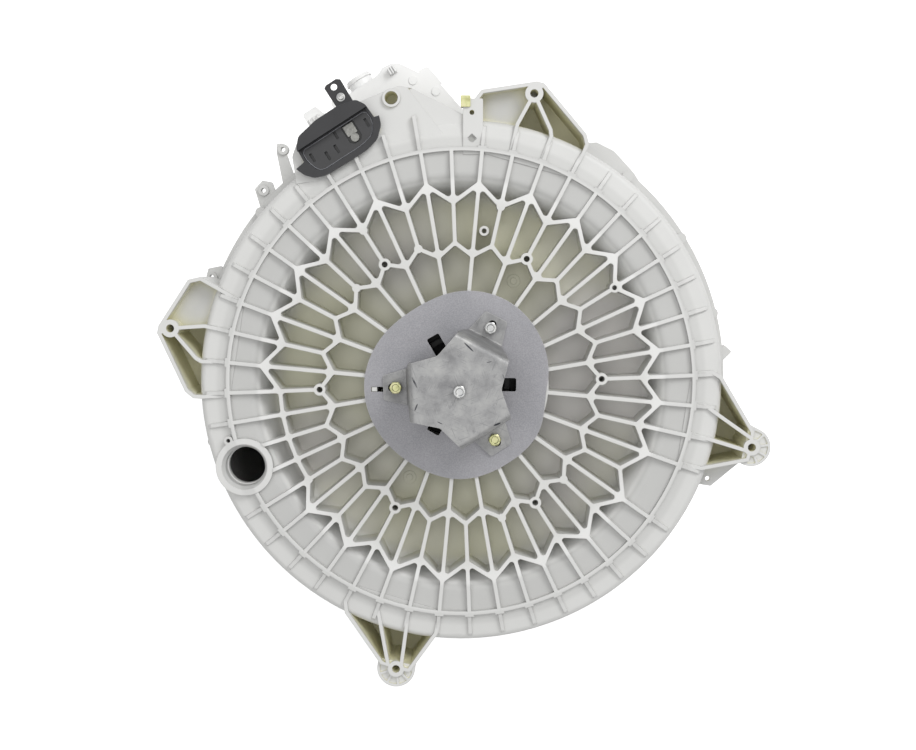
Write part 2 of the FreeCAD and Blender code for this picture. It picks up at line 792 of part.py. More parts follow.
def node_posts():
    """Round posts at rib crossings: six with holes, some solid, two small."""
    posts, holes = [], []
    peak = size("inner_peak_radius")
    for index in range(int(size("stator_boss_count"))):
        centre = polar(peak, clock + index * 360.0 / size("stator_boss_count"))
        posts.append(post(centre, size("stator_boss_radius"), floor_top - wall / 2, rib_plane))
        low = rib_plane - size("stator_hole_length")
        holes.append(post(centre, size("stator_hole_radius"), low, rib_plane + wall))
    for radius, step in ((peak, 14), (peak, 18), (peak, 42), (peak, 38),
                         (size("outer_valley_radius"), 16), (size("outer_valley_radius"), 10),
                         (size("outer_valley_radius"), 28)):
        centre = polar(radius, spoke_angle(step))
        posts.append(post(centre, size("node_boss_radius"), floor_top - wall / 2, rib_plane))
    for centre, top in ((polar(size("outer_valley_radius"), spoke_angle(4)), rib_plane),
                        (Vector(25.4, 164.9, 0), rib_plane - 9.0)):
        posts.append(post(centre, size("small_boss_radius"), floor_top - wall / 2, top))
        holes.append(post(centre, size("small_hole_radius"), top - 18.0, top + wall))
    return posts, holes


def ring_knuckles():
    """Short thickenings of the ring rib, outside each crossing."""
    knuckles = []
    low = size(level("bulge_crest_depth")) - wall / 2
    high = rib_plane - size("ring_depth")
    radius = size("ring_radius + knuckle_offset")
    half = size("knuckle_length") / 2
    for step in range(2 * spokes):
        if step == MISSING_RIB_STEP or LOBE_STEPS[0] <= step < LOBE_STEPS[1]:
            continue
        angle = spoke_angle(step)
        line = local_to_tub([(radius, -half), (radius, half)], angle, False)
        knuckles.append(upright(line, size("knuckle_width"), low, high))
    return knuckles


def port_solids():
    """The round port: its collar, and what is bored away."""
    centre = polar(size("port_radius"), size("port_angle"))
    top = size(level("port_top_depth"))
    flange = post(centre, size("port_flange_radius"), top - 48.0, top)
    tube = post(centre, size("port_mouth_radius"), size(level("port_end_depth")), top)
    seat = size("port_seat_radius")
    bores = [post(centre, size("port_flange_radius"), top, rib_plane + wall),
             post(centre, size("port_bore_radius"), top - 60.0, top + wall),
             post(centre, seat, size(level("port_seat_depth")), top + wall)]
    cone_low = size(level("port_cone_depth"))
    cone_foot = Vector(centre.x, centre.y, cone_low)
    cone = Part.makeCone(seat, size("port_mouth_radius"), top - cone_low, cone_foot)
    boss_at = polar(size("port_boss_circle"), size("port_angle") - size("port_boss_turn"))
    boss = post(boss_at, size("port_boss_radius"), top - 48.0, top)
    bores.append(post(boss_at, size("small_screw_radius"), size(level("port_end_depth")), top + wall))
    return flange, tube, boss, bores + [cone]


def seam_posts(low, high):
    posts = []
    count = int(size("seam_screw_count"))
    for index in range(count):
        centre = polar(size("seam_screw_circle"), size("seam_screw_angle") + index * 360.0 / count)
        posts.append(post(centre, size("seam_boss_radius"), low, high))
    return posts


def seam_holes(low, high, radius):
    holes = []
    count = int(size("seam_screw_count"))
    for index in range(count):
        centre = polar(size("seam_screw_circle"), size("seam_screw_angle") + index * 360.0 / count)
        holes.append(post(centre, radius, low, high))
    return holes


def hub_window_tools(low, high):
    """Three rectangular windows round the hub."""
    tools = []
    half = size("window_width") / 2
    for index in range(3):
        corners = [(size("window_start"), -half), (size("window_end"), -half),
                   (size("window_end"), half), (size("window_start"), half)]
        tools.append(prism(local_to_tub(corners, index * 120.0, False), 2.0, low, high))
    return tools


def rear_tub_half():
    core = rear_core()
    ribs = rib_blank().cut(Part.makeCompound(rib_cells()))
    hub_out = size("hub_radius") + size("hub_sleeve_wall")
    hub_low = size(level("hub_end_depth")) - wall
    sleeve = collar(hub_out, size("hub_sleeve_wall"), hub_low, rib_plane)
    lip = collar(hub_out, size("hub_sleeve_wall") * 2, hub_low, size(level("hub_end_depth")))
    rings = [collar(size("collar_radius"), size("collar_wall"), floor_top - wall / 2, rib_plane),
             collar(size("ring_radius") + size("rib") / 2, size("rib"), floor_top + wall,
                    rib_plane - size("ring_depth")).cut(core)]
    posts, holes = node_posts()
    flange, tube, boss, bores = port_solids()
    outside = [spring_ear(spring_angle, False), spring_ear(2 * up_angle - spring_angle, True),
               damper_ear(damper_angle, False, False),
               damper_ear(2 * up_angle - damper_angle, True, True),
               duct_lobe(), flange, boss]
    outside += seam_posts(seam, seam + size("seam_boss_height"))
    outside = [solid.cut(core) for solid in outside]
    marks = floor_marks() + [locator()]
    rings += ring_knuckles()
    body = rear_skin().fuse([ribs, sleeve, lip, tube] + rings + posts + marks + outside)
    holes += bores
    holes += seam_holes(seam - wall, seam + size("seam_boss_height") - wall, size("seam_screw_radius"))
    holes += hub_window_tools(size(level("window_depth")), rib_plane + wall)
    holes.append(connector_seat())
    for place in manifold_screw_places():
        holes.append(post(place, size("small_screw_radius"), seam, seam + size("flange_thickness")))
    return body.cut(holes)


def front_section():
    """Side wall, front wall and mouth collar of the front half."""
    rim, mouth = size("rim_radius"), size("mouth_radius")
    bottom = size("front_wall_height")
    flange, thick = size("flange_radius"), size("flange_thickness")
    lip, collar_wall = size("mouth_lip"), size("mouth_wall")
    corner = size("front_corner_round")
    return [((rim, seam - thick), 0), ((flange, seam - thick), 0), ((flange, seam), 0),
            ((rim - wall, seam), 0), ((rim - wall, bottom + wall), corner - wall),
            ((mouth, bottom + wall), 3), ((mouth, 0), 0), ((mouth + collar_wall + lip, 0), 0),
            ((mouth + collar_wall + lip, lip), 0), ((mouth + collar_wall, lip), 0),
            ((mouth + collar_wall, bottom), 0), ((rim, bottom), corner)]


def front_core():
    """What lies inside the middle of the front half's wall."""
    rim = size("rim_radius") - wall / 2
    low = size("front_wall_height") + wall / 2
    corner = size("front_corner_round") - wall / 2
    return turned_solid([(0, low), (rim, low), (rim, seam), (0, seam)], [0, corner, 0, 0])


def front_ribs():
    """Radial ribs over the front wall's corner, between collar and side wall."""
    ribs = []
    count = int(size("front_rib_count"))
    rise, corner = size("front_rib_rise"), size("front_corner_round")
    inner, outer = size("mouth_radius") + size("mouth_wall") / 2, size("rim_radius") + rise
    bottom = size("front_wall_height") - rise
    high = bottom + 2 * corner
    for index in range(count):
        angle = clock + (index + 0.5) * 360.0 / count
        line = [polar(inner, angle), polar(outer, angle)]
        ribs.append(upright(line, size("rib"), bottom, high))
    envelope = turned_solid([(inner, bottom), (outer, bottom), (outer, high), (inner, high)],
                            [0, corner + rise, 0, 0])
    return [rib.common(envelope) for rib in ribs]


FLANGE_TABS = [
    ([(-190, 224), (-205, 268), (-212, 268), (-212, 256), (-204, 215)], (-204.5, 261)),
    ([(-208, 196), (-218, 224), (-229, 226), (-238, 216), (-226, 176)], (-227.5, 214.4)),
    ([(-262, 96), (-278, 128), (-293, 125), (-297, 108), (-272, 84)], (-288.5, 115.0)),
    ([(150, 240), (138, 268), (155, 269), (175, 259), (198, 234), (221, 197), (206, 186)], None),
    ([(280, 14), (304, 37), (313, 29), (286, 2)], None),
]


def flange_tabs(low, high):
    """Lugs that stand out beyond the seam flange."""
    tabs = []
    for outline, eye in FLANGE_TABS:
        outline = counter_clockwise([Vector(across, along, 0) for across, along in outline])
        tab = prism(outline, 1.5, low, high)
        if eye:
            centre = Vector(eye[0], eye[1], 0)
            tab = tab.fuse(post(centre, 2.4 * size("small_hole_radius"), low, high + wall))
            tab = tab.cut(post(centre, size("small_hole_radius"), low - wall, high + 2 * wall))
        tabs.append(tab)
    return tabs


def outlet(radius, near, far):
    """A round bar along the lower side, between two distances from the axis."""
    way = polar(1, up_angle + 180.0)
    start = way * near + Vector(0, 0, size("sump_height"))
    return Part.makeCylinder(radius, far - near, start, way)


def front_tub_half():
    corners = front_section()
    body = turned_solid([corner for corner, _ in corners], [radius for _, radius in corners])
    core = front_core()
    low = seam - size("flange_thickness")
    screw_low = seam - size("seam_boss_height")
    added = front_ribs() + flange_tabs(low, seam) + seam_posts(screw_low, low)
    hoop_radius = size("rim_radius") + size("front_rib_rise")
    for index in range(int(size("hoop_count"))):
        height = size("hoop_start") + index * size("hoop_spacing")
        added.append(collar(hoop_radius, 2 * size("front_rib_rise"), height, height + size("rib")))
    rim, reach = size("rim_radius"), size("sump_reach")
    added.append(outlet(size("sump_radius"), rim - size("sump_radius"), reach))
    body = body.fuse([solid.cut(core) for solid in added])
    middle = size("gasket_radius")
    half = size("gasket_width") / 2
    groove = collar(middle + half, 2 * half, seam - size("gasket_groove_depth"), seam + wall)
    holes = seam_holes(screw_low - wall, seam + wall, size("seam_screw_radius"))
    bore = outlet(size("sump_radius") - wall, rim / 2, reach + wall)
    return body.cut([groove, bore] + holes)


formed("front_tub_half", front_tub_half())

gasket_low = "front_height - gasket_groove_depth"
lathe("seam_gasket", [("gasket_radius - gasket_width / 2", gasket_low),
                      ("gasket_radius + gasket_width / 2", gasket_low),
                      ("gasket_radius + gasket_width / 2", "front_height"),
                      ("gasket_radius - gasket_width / 2", "front_height")])


def hexagon(centre, radius, low, high):
    corners = [centre + polar(radius, 60 * index + 30) for index in range(6)]
    return prism(corners, 0, low, high)


def seam_screws():
    screws = []
    count = int(size("seam_screw_count"))
    head_high = seam - size("seam_boss_height")
    head_low = head_high - size("seam_head_height")
    tip = seam + size("seam_boss_height") - 2 * wall
    for index in range(count):
        centre = polar(size("seam_screw_circle"), size("seam_screw_angle") + index * 360.0 / count)
        screw = hexagon(centre, size("seam_head_radius"), head_low, head_high)
        screws.append(screw.fuse(post(centre, size("seam_screw_radius"), head_high, tip)))
    return Part.makeCompound(screws)


formed("seam_screws", seam_screws())

# The bearing hub: a cast cylinder with a seat for each bearing and for the seal.
rear_seat = level("rear_bearing_depth + rear_bearing_width")
front_seat = level("front_bearing_depth")
hub_low = level("hub_end_depth")
shoulder = "rear_bearing_radius - bearing_shoulder"
seal_top = level("seal_depth")
lathe("bearing_hub", [("rear_bearing_radius", RIB_PLANE), ("hub_radius", RIB_PLANE),
                      ("hub_radius", hub_low), ("seal_radius", hub_low),
                      ("seal_radius", seal_top), ("front_bearing_radius", seal_top),
                      ("front_bearing_radius", front_seat), (shoulder, front_seat),
                      (shoulder, rear_seat), ("rear_bearing_radius", rear_seat)])
hub = document.getObject("bearing_hub")
window = outline_sketch(hub, "XY_Plane", [("window_start", "-window_width / 2"),
                                          ("window_end", "-window_width / 2"),
                                          ("window_end", "window_width / 2"),
                                          ("window_start", "window_width / 2")])
window.setExpression("AttachmentOffset.Base.z", bound(RIB_PLANE))
window_cut = hub.newObject("PartDesign::Pocket", "hub_window")
window_cut.Profile = window
window_cut.setExpression("Length", bound("window_depth"))
hub.Tip = window_cut
document.recompute()
windows = hub.newObject("PartDesign::PolarPattern", "hub_windows")
windows.Originals = [window_cut]
windows.Axis = (origin_plane(hub, "Z_Axis"), [""])
windows.Angle = 360.0
windows.Occurrences = 3
hub.Tip = windows
document.recompute()


def bearing(name, depth, bore, radius, width):
    """Outer ring, inner ring, balls and cage of one deep-groove bearing."""
    race = f"(({radius} - {bore}) * race_wall_share)"
    top, low = level(depth), level(f"{depth} + {width}")
    middle = level(f"{depth} + {width} / 2")
    pitch_circle = f"(({bore} + {radius}) / 2)"
    ball = size(f"({radius} - {bore}) * 0.3")
    outer = lathe(name + "_outer_ring", [(f"{radius} - {race}", low), (radius, low),
                                         (radius, top), (f"{radius} - {race}", top)])
    inner = lathe(name + "_inner_ring", [(bore, low), (f"{bore} + {race}", low),
                                         (f"{bore} + {race}", top), (bore, top)])
    for ring in (outer, inner):
        groove = ring.newObject("Sketcher::SketchObject", ring.Name + "_groove")
        groove.AttachmentSupport = [(origin_plane(ring, "XZ_Plane"), "")]
        groove.MapMode = "FlatFace"
        centre = Vector(size(pitch_circle), size(middle), 0)
        groove.addGeometry(Part.Circle(centre, Vector(0, 0, 1), ball + size("ball_clearance")), False)
        pin_point(groove, 0, 3, pitch_circle, middle)
        round_size = f"({radius} - {bore}) * 0.3 + ball_clearance"
        place = groove.addConstraint(Sketcher.Constraint("Radius", 0, size(round_size)))
        groove.setExpression(f"Constraints[{place}]", bound(round_size))
        track = ring.newObject("PartDesign::Groove", ring.Name + "_track")
        track.Profile = groove
        track.ReferenceAxis = (groove, ["V_Axis"])
        track.Angle = 360.0
        ring.Tip = track
    document.recompute()
    count = int(size("ball_count"))
    centres = [polar(size(pitch_circle), index * 360.0 / count, size(middle)) for index in range(count)]
    formed(name + "_balls", Part.makeCompound([Part.makeSphere(ball, centre) for centre in centres]))
    gap = size("cage_clearance")
    room = size(f"{radius} - {bore} - 2 * {race}") / 2 - gap
    half = ball + gap + size("cage_rim")
    cage = collar(size(pitch_circle) + room, 2 * room, size(middle) - half, size(middle) + half)
    pockets = []
    for centre in centres:
        way = Vector(centre.x, centre.y, 0).normalize()
        pockets.append(Part.makeCylinder(ball + gap, 4 * room, centre - way * 2 * room, way))
    formed(name + "_cage", cage.cut(pockets))


bearing("rear_bearing", "rear_bearing_depth", "rear_bearing_bore", "rear_bearing_radius",
        "rear_bearing_width")
bearing("front_bearing", "front_bearing_depth", "front_bearing_bore", "front_bearing_radius",
        "front_bearing_width")

seal_low = level("seal_depth + seal_width")
lip = "journal_radius + seal_clearance"
lathe("shaft_seal", [("seal_radius", seal_low), ("seal_radius", seal_top),
                     (f"{lip} + 3", seal_top), (f"{lip} + 3", level("seal_depth + 3")),
                     (lip, level("seal_depth + 4.5")), (lip, level("seal_depth + 6")),
                     (f"{lip} + 2", seal_low)])

# The drum shaft, from the spider up through both bearings to its splined nose.
shaft_low = level("drum_back_depth")
front_low = level("front_bearing_depth + front_bearing_width")
front_top = level("front_bearing_depth")
nose_top = f"({RIB_PLANE} + shaft_top)"
lathe("drum_shaft", [("0", shaft_low), ("journal_radius", shaft_low), ("journal_radius", front_low),
                     ("front_bearing_bore", front_low), ("front_bearing_bore", front_top),
                     ("shaft_body_radius", front_top), ("shaft_body_radius", rear_seat),
                     ("rear_bearing_bore", rear_seat), ("rear_bearing_bore", RIB_PLANE),
                     ("shaft_nose_radius", RIB_PLANE), ("shaft_nose_radius", nose_top),
                     ("0", nose_top)])
shaft = document.getObject("drum_shaft")
drill(shaft, "spline", "shaft_nose_radius", "0", "spline_depth", nose_top, "spline_length",
      "spline_count")
drill(shaft, "bolt_seat", "0", "0", "bolt_radius", nose_top, "shaft_bolt_length")


def spider():
    """Three tapered arms from a hub that the shaft is pressed into, pocketed from above."""
    low = size(shaft_low)
    top = size(level("spider_top_depth"))
    body = post(Vector(0, 0, 0), size("spider_hub_radius"), low, top)
    reach = size("spider_arm_radius")
    for index in range(3):
        angle = spider_arm_angle(index)
        root, tip = size("spider_arm_root") / 2, size("spider_arm_tip") / 2
        corners = local_to_tub([(0, -root), (reach, -tip), (reach, tip), (0, root)], angle, False)
        arm = prism(corners, [0, 6, 6, 0], low, low + size("spider_arm_root_height"))
        slope = Part.Face(Part.makePolygon([
            Vector(0, 0, low), Vector(reach, 0, low),
            Vector(reach, 0, low + size("spider_arm_tip_height")),
            Vector(0, 0, low + size("spider_arm_root_height")), Vector(0, 0, low)]))
        wedge = slope.extrude(Vector(0, 2 * root + 2, 0))
        wedge.translate(Vector(0, -root - 1, 0))
        wedge.rotate(Vector(0, 0, 0), Vector(0, 0, 1), angle)
        arm = arm.common(wedge)
        thick = size("spider_wall")
        near, far = size("spider_pocket_start"), size("spider_pocket_end")
        pocket = local_to_tub([(near, thick - root), (far, thick - tip), (far, tip - thick),
                               (near, root - thick)], angle, False)
        arm = arm.cut(prism(pocket, 5, low + size("spider_floor"), top))
        body = body.fuse(arm)
    body = body.cut(post(Vector(0, 0, 0), size("journal_radius"), low, top))
    depth = size("spider_screw_length")
    radius = size("spider_screw_radius")
    return body.cut([post(at, radius, low, low + depth) for at in spider_screw_places()])


def spider_arm_angle(index):
    return clock + 30 + 120 * index


def spider_screw_circle(row):
    return f"spider_arm_radius - spider_screw_inset - {row} * spider_screw_spacing"


def spider_screw_places():
    places = []
    for index in range(3):
        for row in range(2):
            places.append(polar(size(spider_screw_circle(row)), spider_arm_angle(index)))
    return places


formed("drum_spider", spider())

back_top = level("drum_back_depth")
back_low = level("drum_back_depth + drum_sheet")
shell_in = "drum_radius - drum_sheet"
fold_low = level("drum_back_depth + drum_rim_fold")
lathe("drum_back", [("0", back_low), (f"{shell_in} - drum_sheet", back_low),
                    (f"{shell_in} - drum_sheet", fold_low), (shell_in, fold_low),
                    (shell_in, back_top), ("0", back_top)])
for index in range(3):
    for row in range(2):
        drill(document.getObject("drum_back"), f"back_{index}_{row}", spider_screw_circle(row),
              f"clock_angle + 30 + 120 * {index}", "spider_screw_radius", back_top, "drum_sheet")

fold_high = "drum_front_height + drum_rim_fold"
lathe("drum_shell", [(shell_in, "drum_front_height"), ("drum_radius", "drum_front_height"),
                     ("drum_radius", back_top), (shell_in, back_top)])
front_up = "drum_front_height + drum_sheet"
lathe("drum_front", [("drum_mouth_radius", "drum_front_height"), (shell_in, "drum_front_height"),
                     (shell_in, fold_high), (f"{shell_in} - drum_sheet", fold_high),
                     (f"{shell_in} - drum_sheet", front_up),
                     ("drum_mouth_radius + drum_sheet", front_up),
                     ("drum_mouth_radius + drum_sheet", "drum_front_height + 12"),
                     ("drum_mouth_radius", "drum_front_height + 12")])


def spider_screws():
    screws = []
    head_top = size(back_low)
    for at in spider_screw_places():
        head = post(at, size("spider_head_radius"), head_top - size("spider_head_height"), head_top)
        tip = size(back_top) + size("spider_screw_length") - 1
        screws.append(head.fuse(post(at, size("spider_screw_radius"), head_top, tip)))
    return Part.makeCompound(screws)


formed("spider_screws", spider_screws())


def lifter(angle):
    """A hollow paddle along the inside of the drum shell."""
    inner = size(shell_in)
    half, crest = size("lifter_base") / 2, size("lifter_crest") / 2
    top = inner - size("lifter_height")
    low = size(fold_high) + 4.0
    high = low + size("lifter_length")
    outline = counter_clockwise(local_to_tub([(inner + 5, -half), (inner - 6, -half), (top, -crest),
                                              (top, crest), (inner - 6, half), (inner + 5, half)],
                                             angle, False))
    thin = size("lifter_wall")
    body = prism(outline, [0, 4, 9, 9, 4, 0], low, high)
    hollow = counter_clockwise(local_to_tub([(inner + 9, -half + thin), (inner - 6, -half + thin),
                                             (top + thin, -crest + thin), (top + thin, crest - thin),
                                             (inner - 6, half - thin), (inner + 9, half - thin)],
                                            angle, False))
    body = body.cut(prism(hollow, [0, 2, 6, 6, 2, 0], low + thin, high - thin))
    return body.common(post(Vector(0, 0, 0), inner, low, high))


for index in range(3):
    formed(f"drum_lifter_{index + 1}", lifter(clock + 120 * index))


# The plate's reach from the axis, every 30 degrees from the X axis.
PLATE_REACH = [93.5, 99.8, 103.2, 100.4, 95.2, 99.0, 103.6, 102.4, 100.6, 102.4, 99.4, 98.3]


def hub_plate():
    """The three-lobed plate over the hub, with its windows and bolt holes."""
    points = [polar(radius, 30.0 * index) for index, radius in enumerate(PLATE_REACH)]
    curve = Part.BSplineCurve()
    curve.interpolate(points, PeriodicFlag=True)
    face = Part.Face(Part.Wire([curve.toShape()]))
    body = face.extrude(Vector(0, 0, size("plate_thickness")))
    body.translate(Vector(0, 0, rib_plane))
    top = rib_plane + size("plate_thickness")
    holes = [post(Vector(0, 0, 0), size("plate_hole_radius"), rib_plane, top)]
    holes += hub_window_tools(rib_plane - wall, top + wall)
    for centre in bracket_bolt_places():
        holes.append(post(centre, size("bolt_radius"), rib_plane, top))
    notch = [Vector(-size(out), -size("notch_offset"), 0) for out in ("notch_start", "notch_end")]
    holes.append(upright(notch, size("notch_width"), rib_plane, top))
    return body.cut(holes)


def bolt_angle(index):
    return clock + 60 + 120 * index


def bracket_bolt_places():
    return [polar(size("bracket_bolt_circle") / 2, bolt_angle(index)) for index in range(3)]


def bend_tool(angle):
    """What rounds the outer side of the bend between the plate and one leg."""
    bend = size("bracket_bend")
    reach, start = size("bracket_reach"), size("tab_start")
    high = rib_plane + size("bracket_top")
    fall = high - rib_plane - size("plate_thickness") - size("bracket_sheet")
    outward = reach + (start - reach) * 2 * bend / fall
    side = [Vector(reach - 2 * bend, high - 2 * bend, 0), Vector(outward, high - 2 * bend, 0),
            Vector(reach, high, 0), Vector(reach - 2 * bend, high, 0)]
    sharp = Part.Face(loop_wire(side, [0, 0, 0, 0]))
    corner = sharp.cut(Part.Face(loop_wire(side, [0, 0, bend, 0])))
    half = size("bracket_half_edge") + bend
    corner.rotate(Vector(0, 0, 0), Vector(1, 0, 0), 90)
    corner = corner.extrude(Vector(0, 2 * half, 0))
    corner.translate(Vector(0, -half, 0))
    corner.rotate(Vector(0, 0, 0), Vector(0, 0, 1), angle)
    return corner


def bracket():
    """A pressed bracket: a raised plate on three sloping legs with feet."""
    sheet_gauge = size("bracket_sheet")
    high = rib_plane + size("bracket_top")
    foot = rib_plane + size("plate_thickness")
    reach, half, waist = size("bracket_reach"), size("bracket_half_edge"), size("bracket_waist")
    outline = []
    for index in range(3):
        angle = bolt_angle(index)
        outline += local_to_tub([(reach, -half), (reach, half)], angle, False)
        outline.append(polar(waist, angle + 60))
    body = prism(outline, [0, 0, 8] * 3, high - sheet_gauge, high)
    start, end = size("tab_start"), size("tab_end")
    narrow, taper = size("tab_half_width"), size("tab_taper")
    for index in range(3):
        angle = bolt_angle(index)
        side = [Vector(reach - 2 * sheet_gauge, high - sheet_gauge, 0),
                Vector(reach - sheet_gauge, high - sheet_gauge, 0),
                Vector(start - sheet_gauge, foot, 0), Vector(end, foot, 0),
                Vector(end, foot + sheet_gauge, 0), Vector(start, foot + sheet_gauge, 0),
                Vector(reach, high, 0), Vector(reach - 2 * sheet_gauge, high, 0)]
        leg = Part.Face(loop_wire(side, [0, 0, 2, 0, 0, 2, 2, 0]))
        leg.rotate(Vector(0, 0, 0), Vector(1, 0, 0), 90)
        leg = leg.extrude(Vector(0, 2 * half, 0))
        leg.translate(Vector(0, -half, 0))
        leg.rotate(Vector(0, 0, 0), Vector(0, 0, 1), angle)
        trim = local_to_tub([(reach - 3 * sheet_gauge, -half), (reach, -half),
                             (start, -narrow - taper), (end, taper - narrow), (end, narrow - taper),
                             (start, narrow + taper), (reach, half),
                             (reach - 3 * sheet_gauge, half)], angle, False)
        corners = [0, 0, 0, size("tab_round"), size("tab_round"), 0, 0, 0]
        body = body.fuse(leg.common(prism(trim, corners, foot, high)))
    hole = size("bolt_radius") + size("bolt_clearance")
    travel = size("tab_slot_travel")
    body = body.cut(post(Vector(0, 0, 0), hole + size("bolt_clearance"), foot, high))
    for index in range(3):
        body = body.cut(bend_tool(bolt_angle(index)))
        for out in (size("bracket_bolt_circle") / 2, size("bracket_bolt_circle") / 2 + travel):
            centre = polar(out, bolt_angle(index))
            body = body.cut(post(centre, hole, foot, foot + sheet_gauge))
    return body


formed("hub_plate", hub_plate())
formed("shipping_bracket", bracket())


def hex_bolt(centre, seat, length):
    """A hex bolt with a washer face; the shank runs down from the seat."""
    flange_top = seat + size("bolt_flange_height")
    body = post(centre, size("bolt_flange_radius"), seat, flange_top)
    body = body.fuse(hexagon(centre, size("bolt_head_radius"), flange_top,
                             flange_top + size("bolt_head_height")))
    return body.fuse(post(centre, size("bolt_radius"), seat - length, seat))


bolt_seat = rib_plane + size("plate_thickness") + size("bracket_sheet")
bracket_bolts = [hex_bolt(centre, bolt_seat, size("bolt_length")) for centre in bracket_bolt_places()]
formed("bracket_bolt_plain", bracket_bolts[0])
formed("bracket_bolts", Part.makeCompound(bracket_bolts[1:]))
shaft_bolt_seat = rib_plane + size("bracket_top") + size("shaft_bolt_gap")
formed("shaft_bolt", hex_bolt(Vector(0, 0, 0), shaft_bolt_seat, size("shaft_bolt_length")))


def plate_nuts():
    nuts = []
    for centre in bracket_bolt_places():
        nut = hexagon(centre, size("nut_radius"), rib_plane - size("nut_height"), rib_plane)
        nuts.append(nut.cut(post(centre, size("bolt_radius"), floor_top, rib_plane)))
    return Part.makeCompound(nuts)


formed("plate_nuts", plate_nuts())

MANIFOLD_OUTLINE = [(262, 8), (350, 8), (350, 26), (337, 30), (337, 62), (341, 66), (341, 104),
                    (345, 113), (344, 124), (338, 133), (296, 159), (240, 168)]
MANIFOLD_BOSSES = [Vector(-55.1, 337.8, 0), Vector(-29.0, 325.4, 0), Vector(-143.0, 312.0, 0)]
MANIFOLD_LUG = [Vector(-48, 345, 0), Vector(-48, 349, 0), Vector(-40, 353, 0), Vector(-37, 352, 0),
                Vector(-22, 335, 0), Vector(-30, 330, 0)]
# Raised blocks: upper edge, middle, length and width.
MANIFOLD_BLOCKS = [(340, 17, 16, 14), (334, 41, 12, 9), (340, 121, 9, 8)]


def inlet_manifold():
    """The hollow inlet moulding on the seam flange, with its hose spigot."""
    low = size(level("manifold_low"))
    flange_top = seam + size("flange_thickness")
    top = flange_top + size("manifold_foot")
    outline = upper_side(MANIFOLD_OUTLINE)
    body = prism(outline, 3.0, low, top)
    hollow = inset(outline, size("manifold_wall"))
    body = body.cut(prism(hollow, 2.0, low - wall, flange_top - size("running_gap")))
    for up, side, long, wide in MANIFOLD_BLOCKS:
        corners = [(up - wide, side - long / 2), (up, side - long / 2), (up, side + long / 2),
                   (up - wide, side + long / 2)]
        block_top, fin_top = top + size("manifold_block_height"), top + size("manifold_fin_height")
        body = body.fuse(prism(upper_side(corners), 1.5, top, block_top))
        for step in (-1, 0, 1):
            line = upper_side([(up - wide, side + step * long / 3), (up, side + step * long / 3)])
            body = body.fuse(upright(line, size("manifold_fin"), top, fin_top))
    for centre in MANIFOLD_BOSSES:
        high = top + size("manifold_boss_height")
        body = body.fuse(post(centre, size("manifold_boss_radius"), top - wall, high))
    body = body.fuse(prism(counter_clockwise(MANIFOLD_LUG), 0, top - wall, top))
    way = polar(1, up_angle)
    middle = upper_side([(size("spigot_start"), size("spigot_side"))])[0]
    start = middle + Vector(0, 0, size(level("spigot_depth")))
    reach = size("spigot_end") - size("spigot_start")
    thin, bead = size("manifold_wall"), size("spigot_bead")
    body = body.fuse(Part.makeCylinder(size("spigot_radius"), reach, start, way))
    body = body.fuse(Part.makeCylinder(size("spigot_radius") + bead / 2, bead,
                                       start + way * (reach - 2 * bead), way))
    body = body.cut(Part.makeCylinder(size("spigot_radius") - thin, reach + thin, start, way))
    gap = size("running_gap")
    clear_low, clear_high = low - wall, top + 2 * size("manifold_fin_height")
    axis = Vector(0, 0, 0)
    body = body.cut([post(axis, size("flange_radius") + gap, clear_low, flange_top),
                     post(axis, size("rim_radius") + gap, clear_low, clear_high)])
    body = body.cut(seam_holes(clear_low, clear_high, size("seam_boss_radius") + gap))
    for place in manifold_screw_places():
        body = body.cut(post(place, size("small_screw_radius"), seam, clear_high))
    return max(body.Solids, key=lambda solid: solid.Volume)


def manifold_screw_places():
    circle = (size("rim_radius") + size("flange_radius")) / 2
    return [polar(circle, up_angle - size(turn)) for turn in ("manifold_turn_1", "manifold_turn_2")]


def manifold_screws():
    seat = seam + size("flange_thickness") + size("manifold_foot")
    screws = []
    for place in manifold_screw_places():
        head = post(place, size("small_screw_head"), seat, seat + size("small_screw_head_height"))
        low = seat - size("manifold_foot") - size("manifold_screw_grip")
        shank = post(place, size("small_screw_radius"), low, seat)
        screws.append(head.fuse(shank))
    return Part.makeCompound(screws)


formed("rear_tub_half", rear_tub_half())
formed("inlet_manifold", inlet_manifold())
formed("manifold_screws", manifold_screws())

deck = size(level("lobe_depth"))
LIP_OUTLINE = [(288, -24), (278, -20), (269.6, -12.5), (265.5, 0), (264.5, 30), (264.5, 51), (268, 66),
               (278.6, 77.5), (288, 81), (290, 74), (273, 60), (272, 4), (290, -11)]
LIP_ROUNDS = [0, 12, 16, 24, 24, 24, 16, 12, 0, 0, 0, 0, 0]


def connector_hood():
    """An oval hood: closed above, open over the terminal block, with a lip."""
    top = deck + size("connector_height")
    thin = size("connector_wall")
    outline = upper_side(CONNECTOR_OUTLINE)
    body = prism(outline, size("connector_round"), deck, top)
    body = body.cut(prism(inset(outline, thin), size("connector_round") - thin, deck, top - thin))
    rim = deck + size("connector_lip") + size("block_height")
    split = size("connector_split")
    front = upper_side([(split, 95), (split, -40), (255, -40), (255, 95)][::-1])
    body = body.cut(prism(front, 0, rim, top))
    lip = prism(upper_side(LIP_OUTLINE), LIP_ROUNDS[::-1], rim - size("connector_lip"), rim)
    inside = prism(inset(outline, thin), size("connector_round") - thin, deck, top)
    body = body.fuse(lip.cut(inside))
    tab_top = deck + size("tab_thickness")
    body = body.fuse(prism(upper_side(TAB_OUTLINE), 0, deck, tab_top))
    eye, screw = upper_side([SCREW_PLACE, EYE_PLACE])
    body = body.cut(post(eye, size("tab_hole_radius"), deck, tab_top))
    return body.cut(post(screw, size("small_screw_radius"), deck, tab_top))


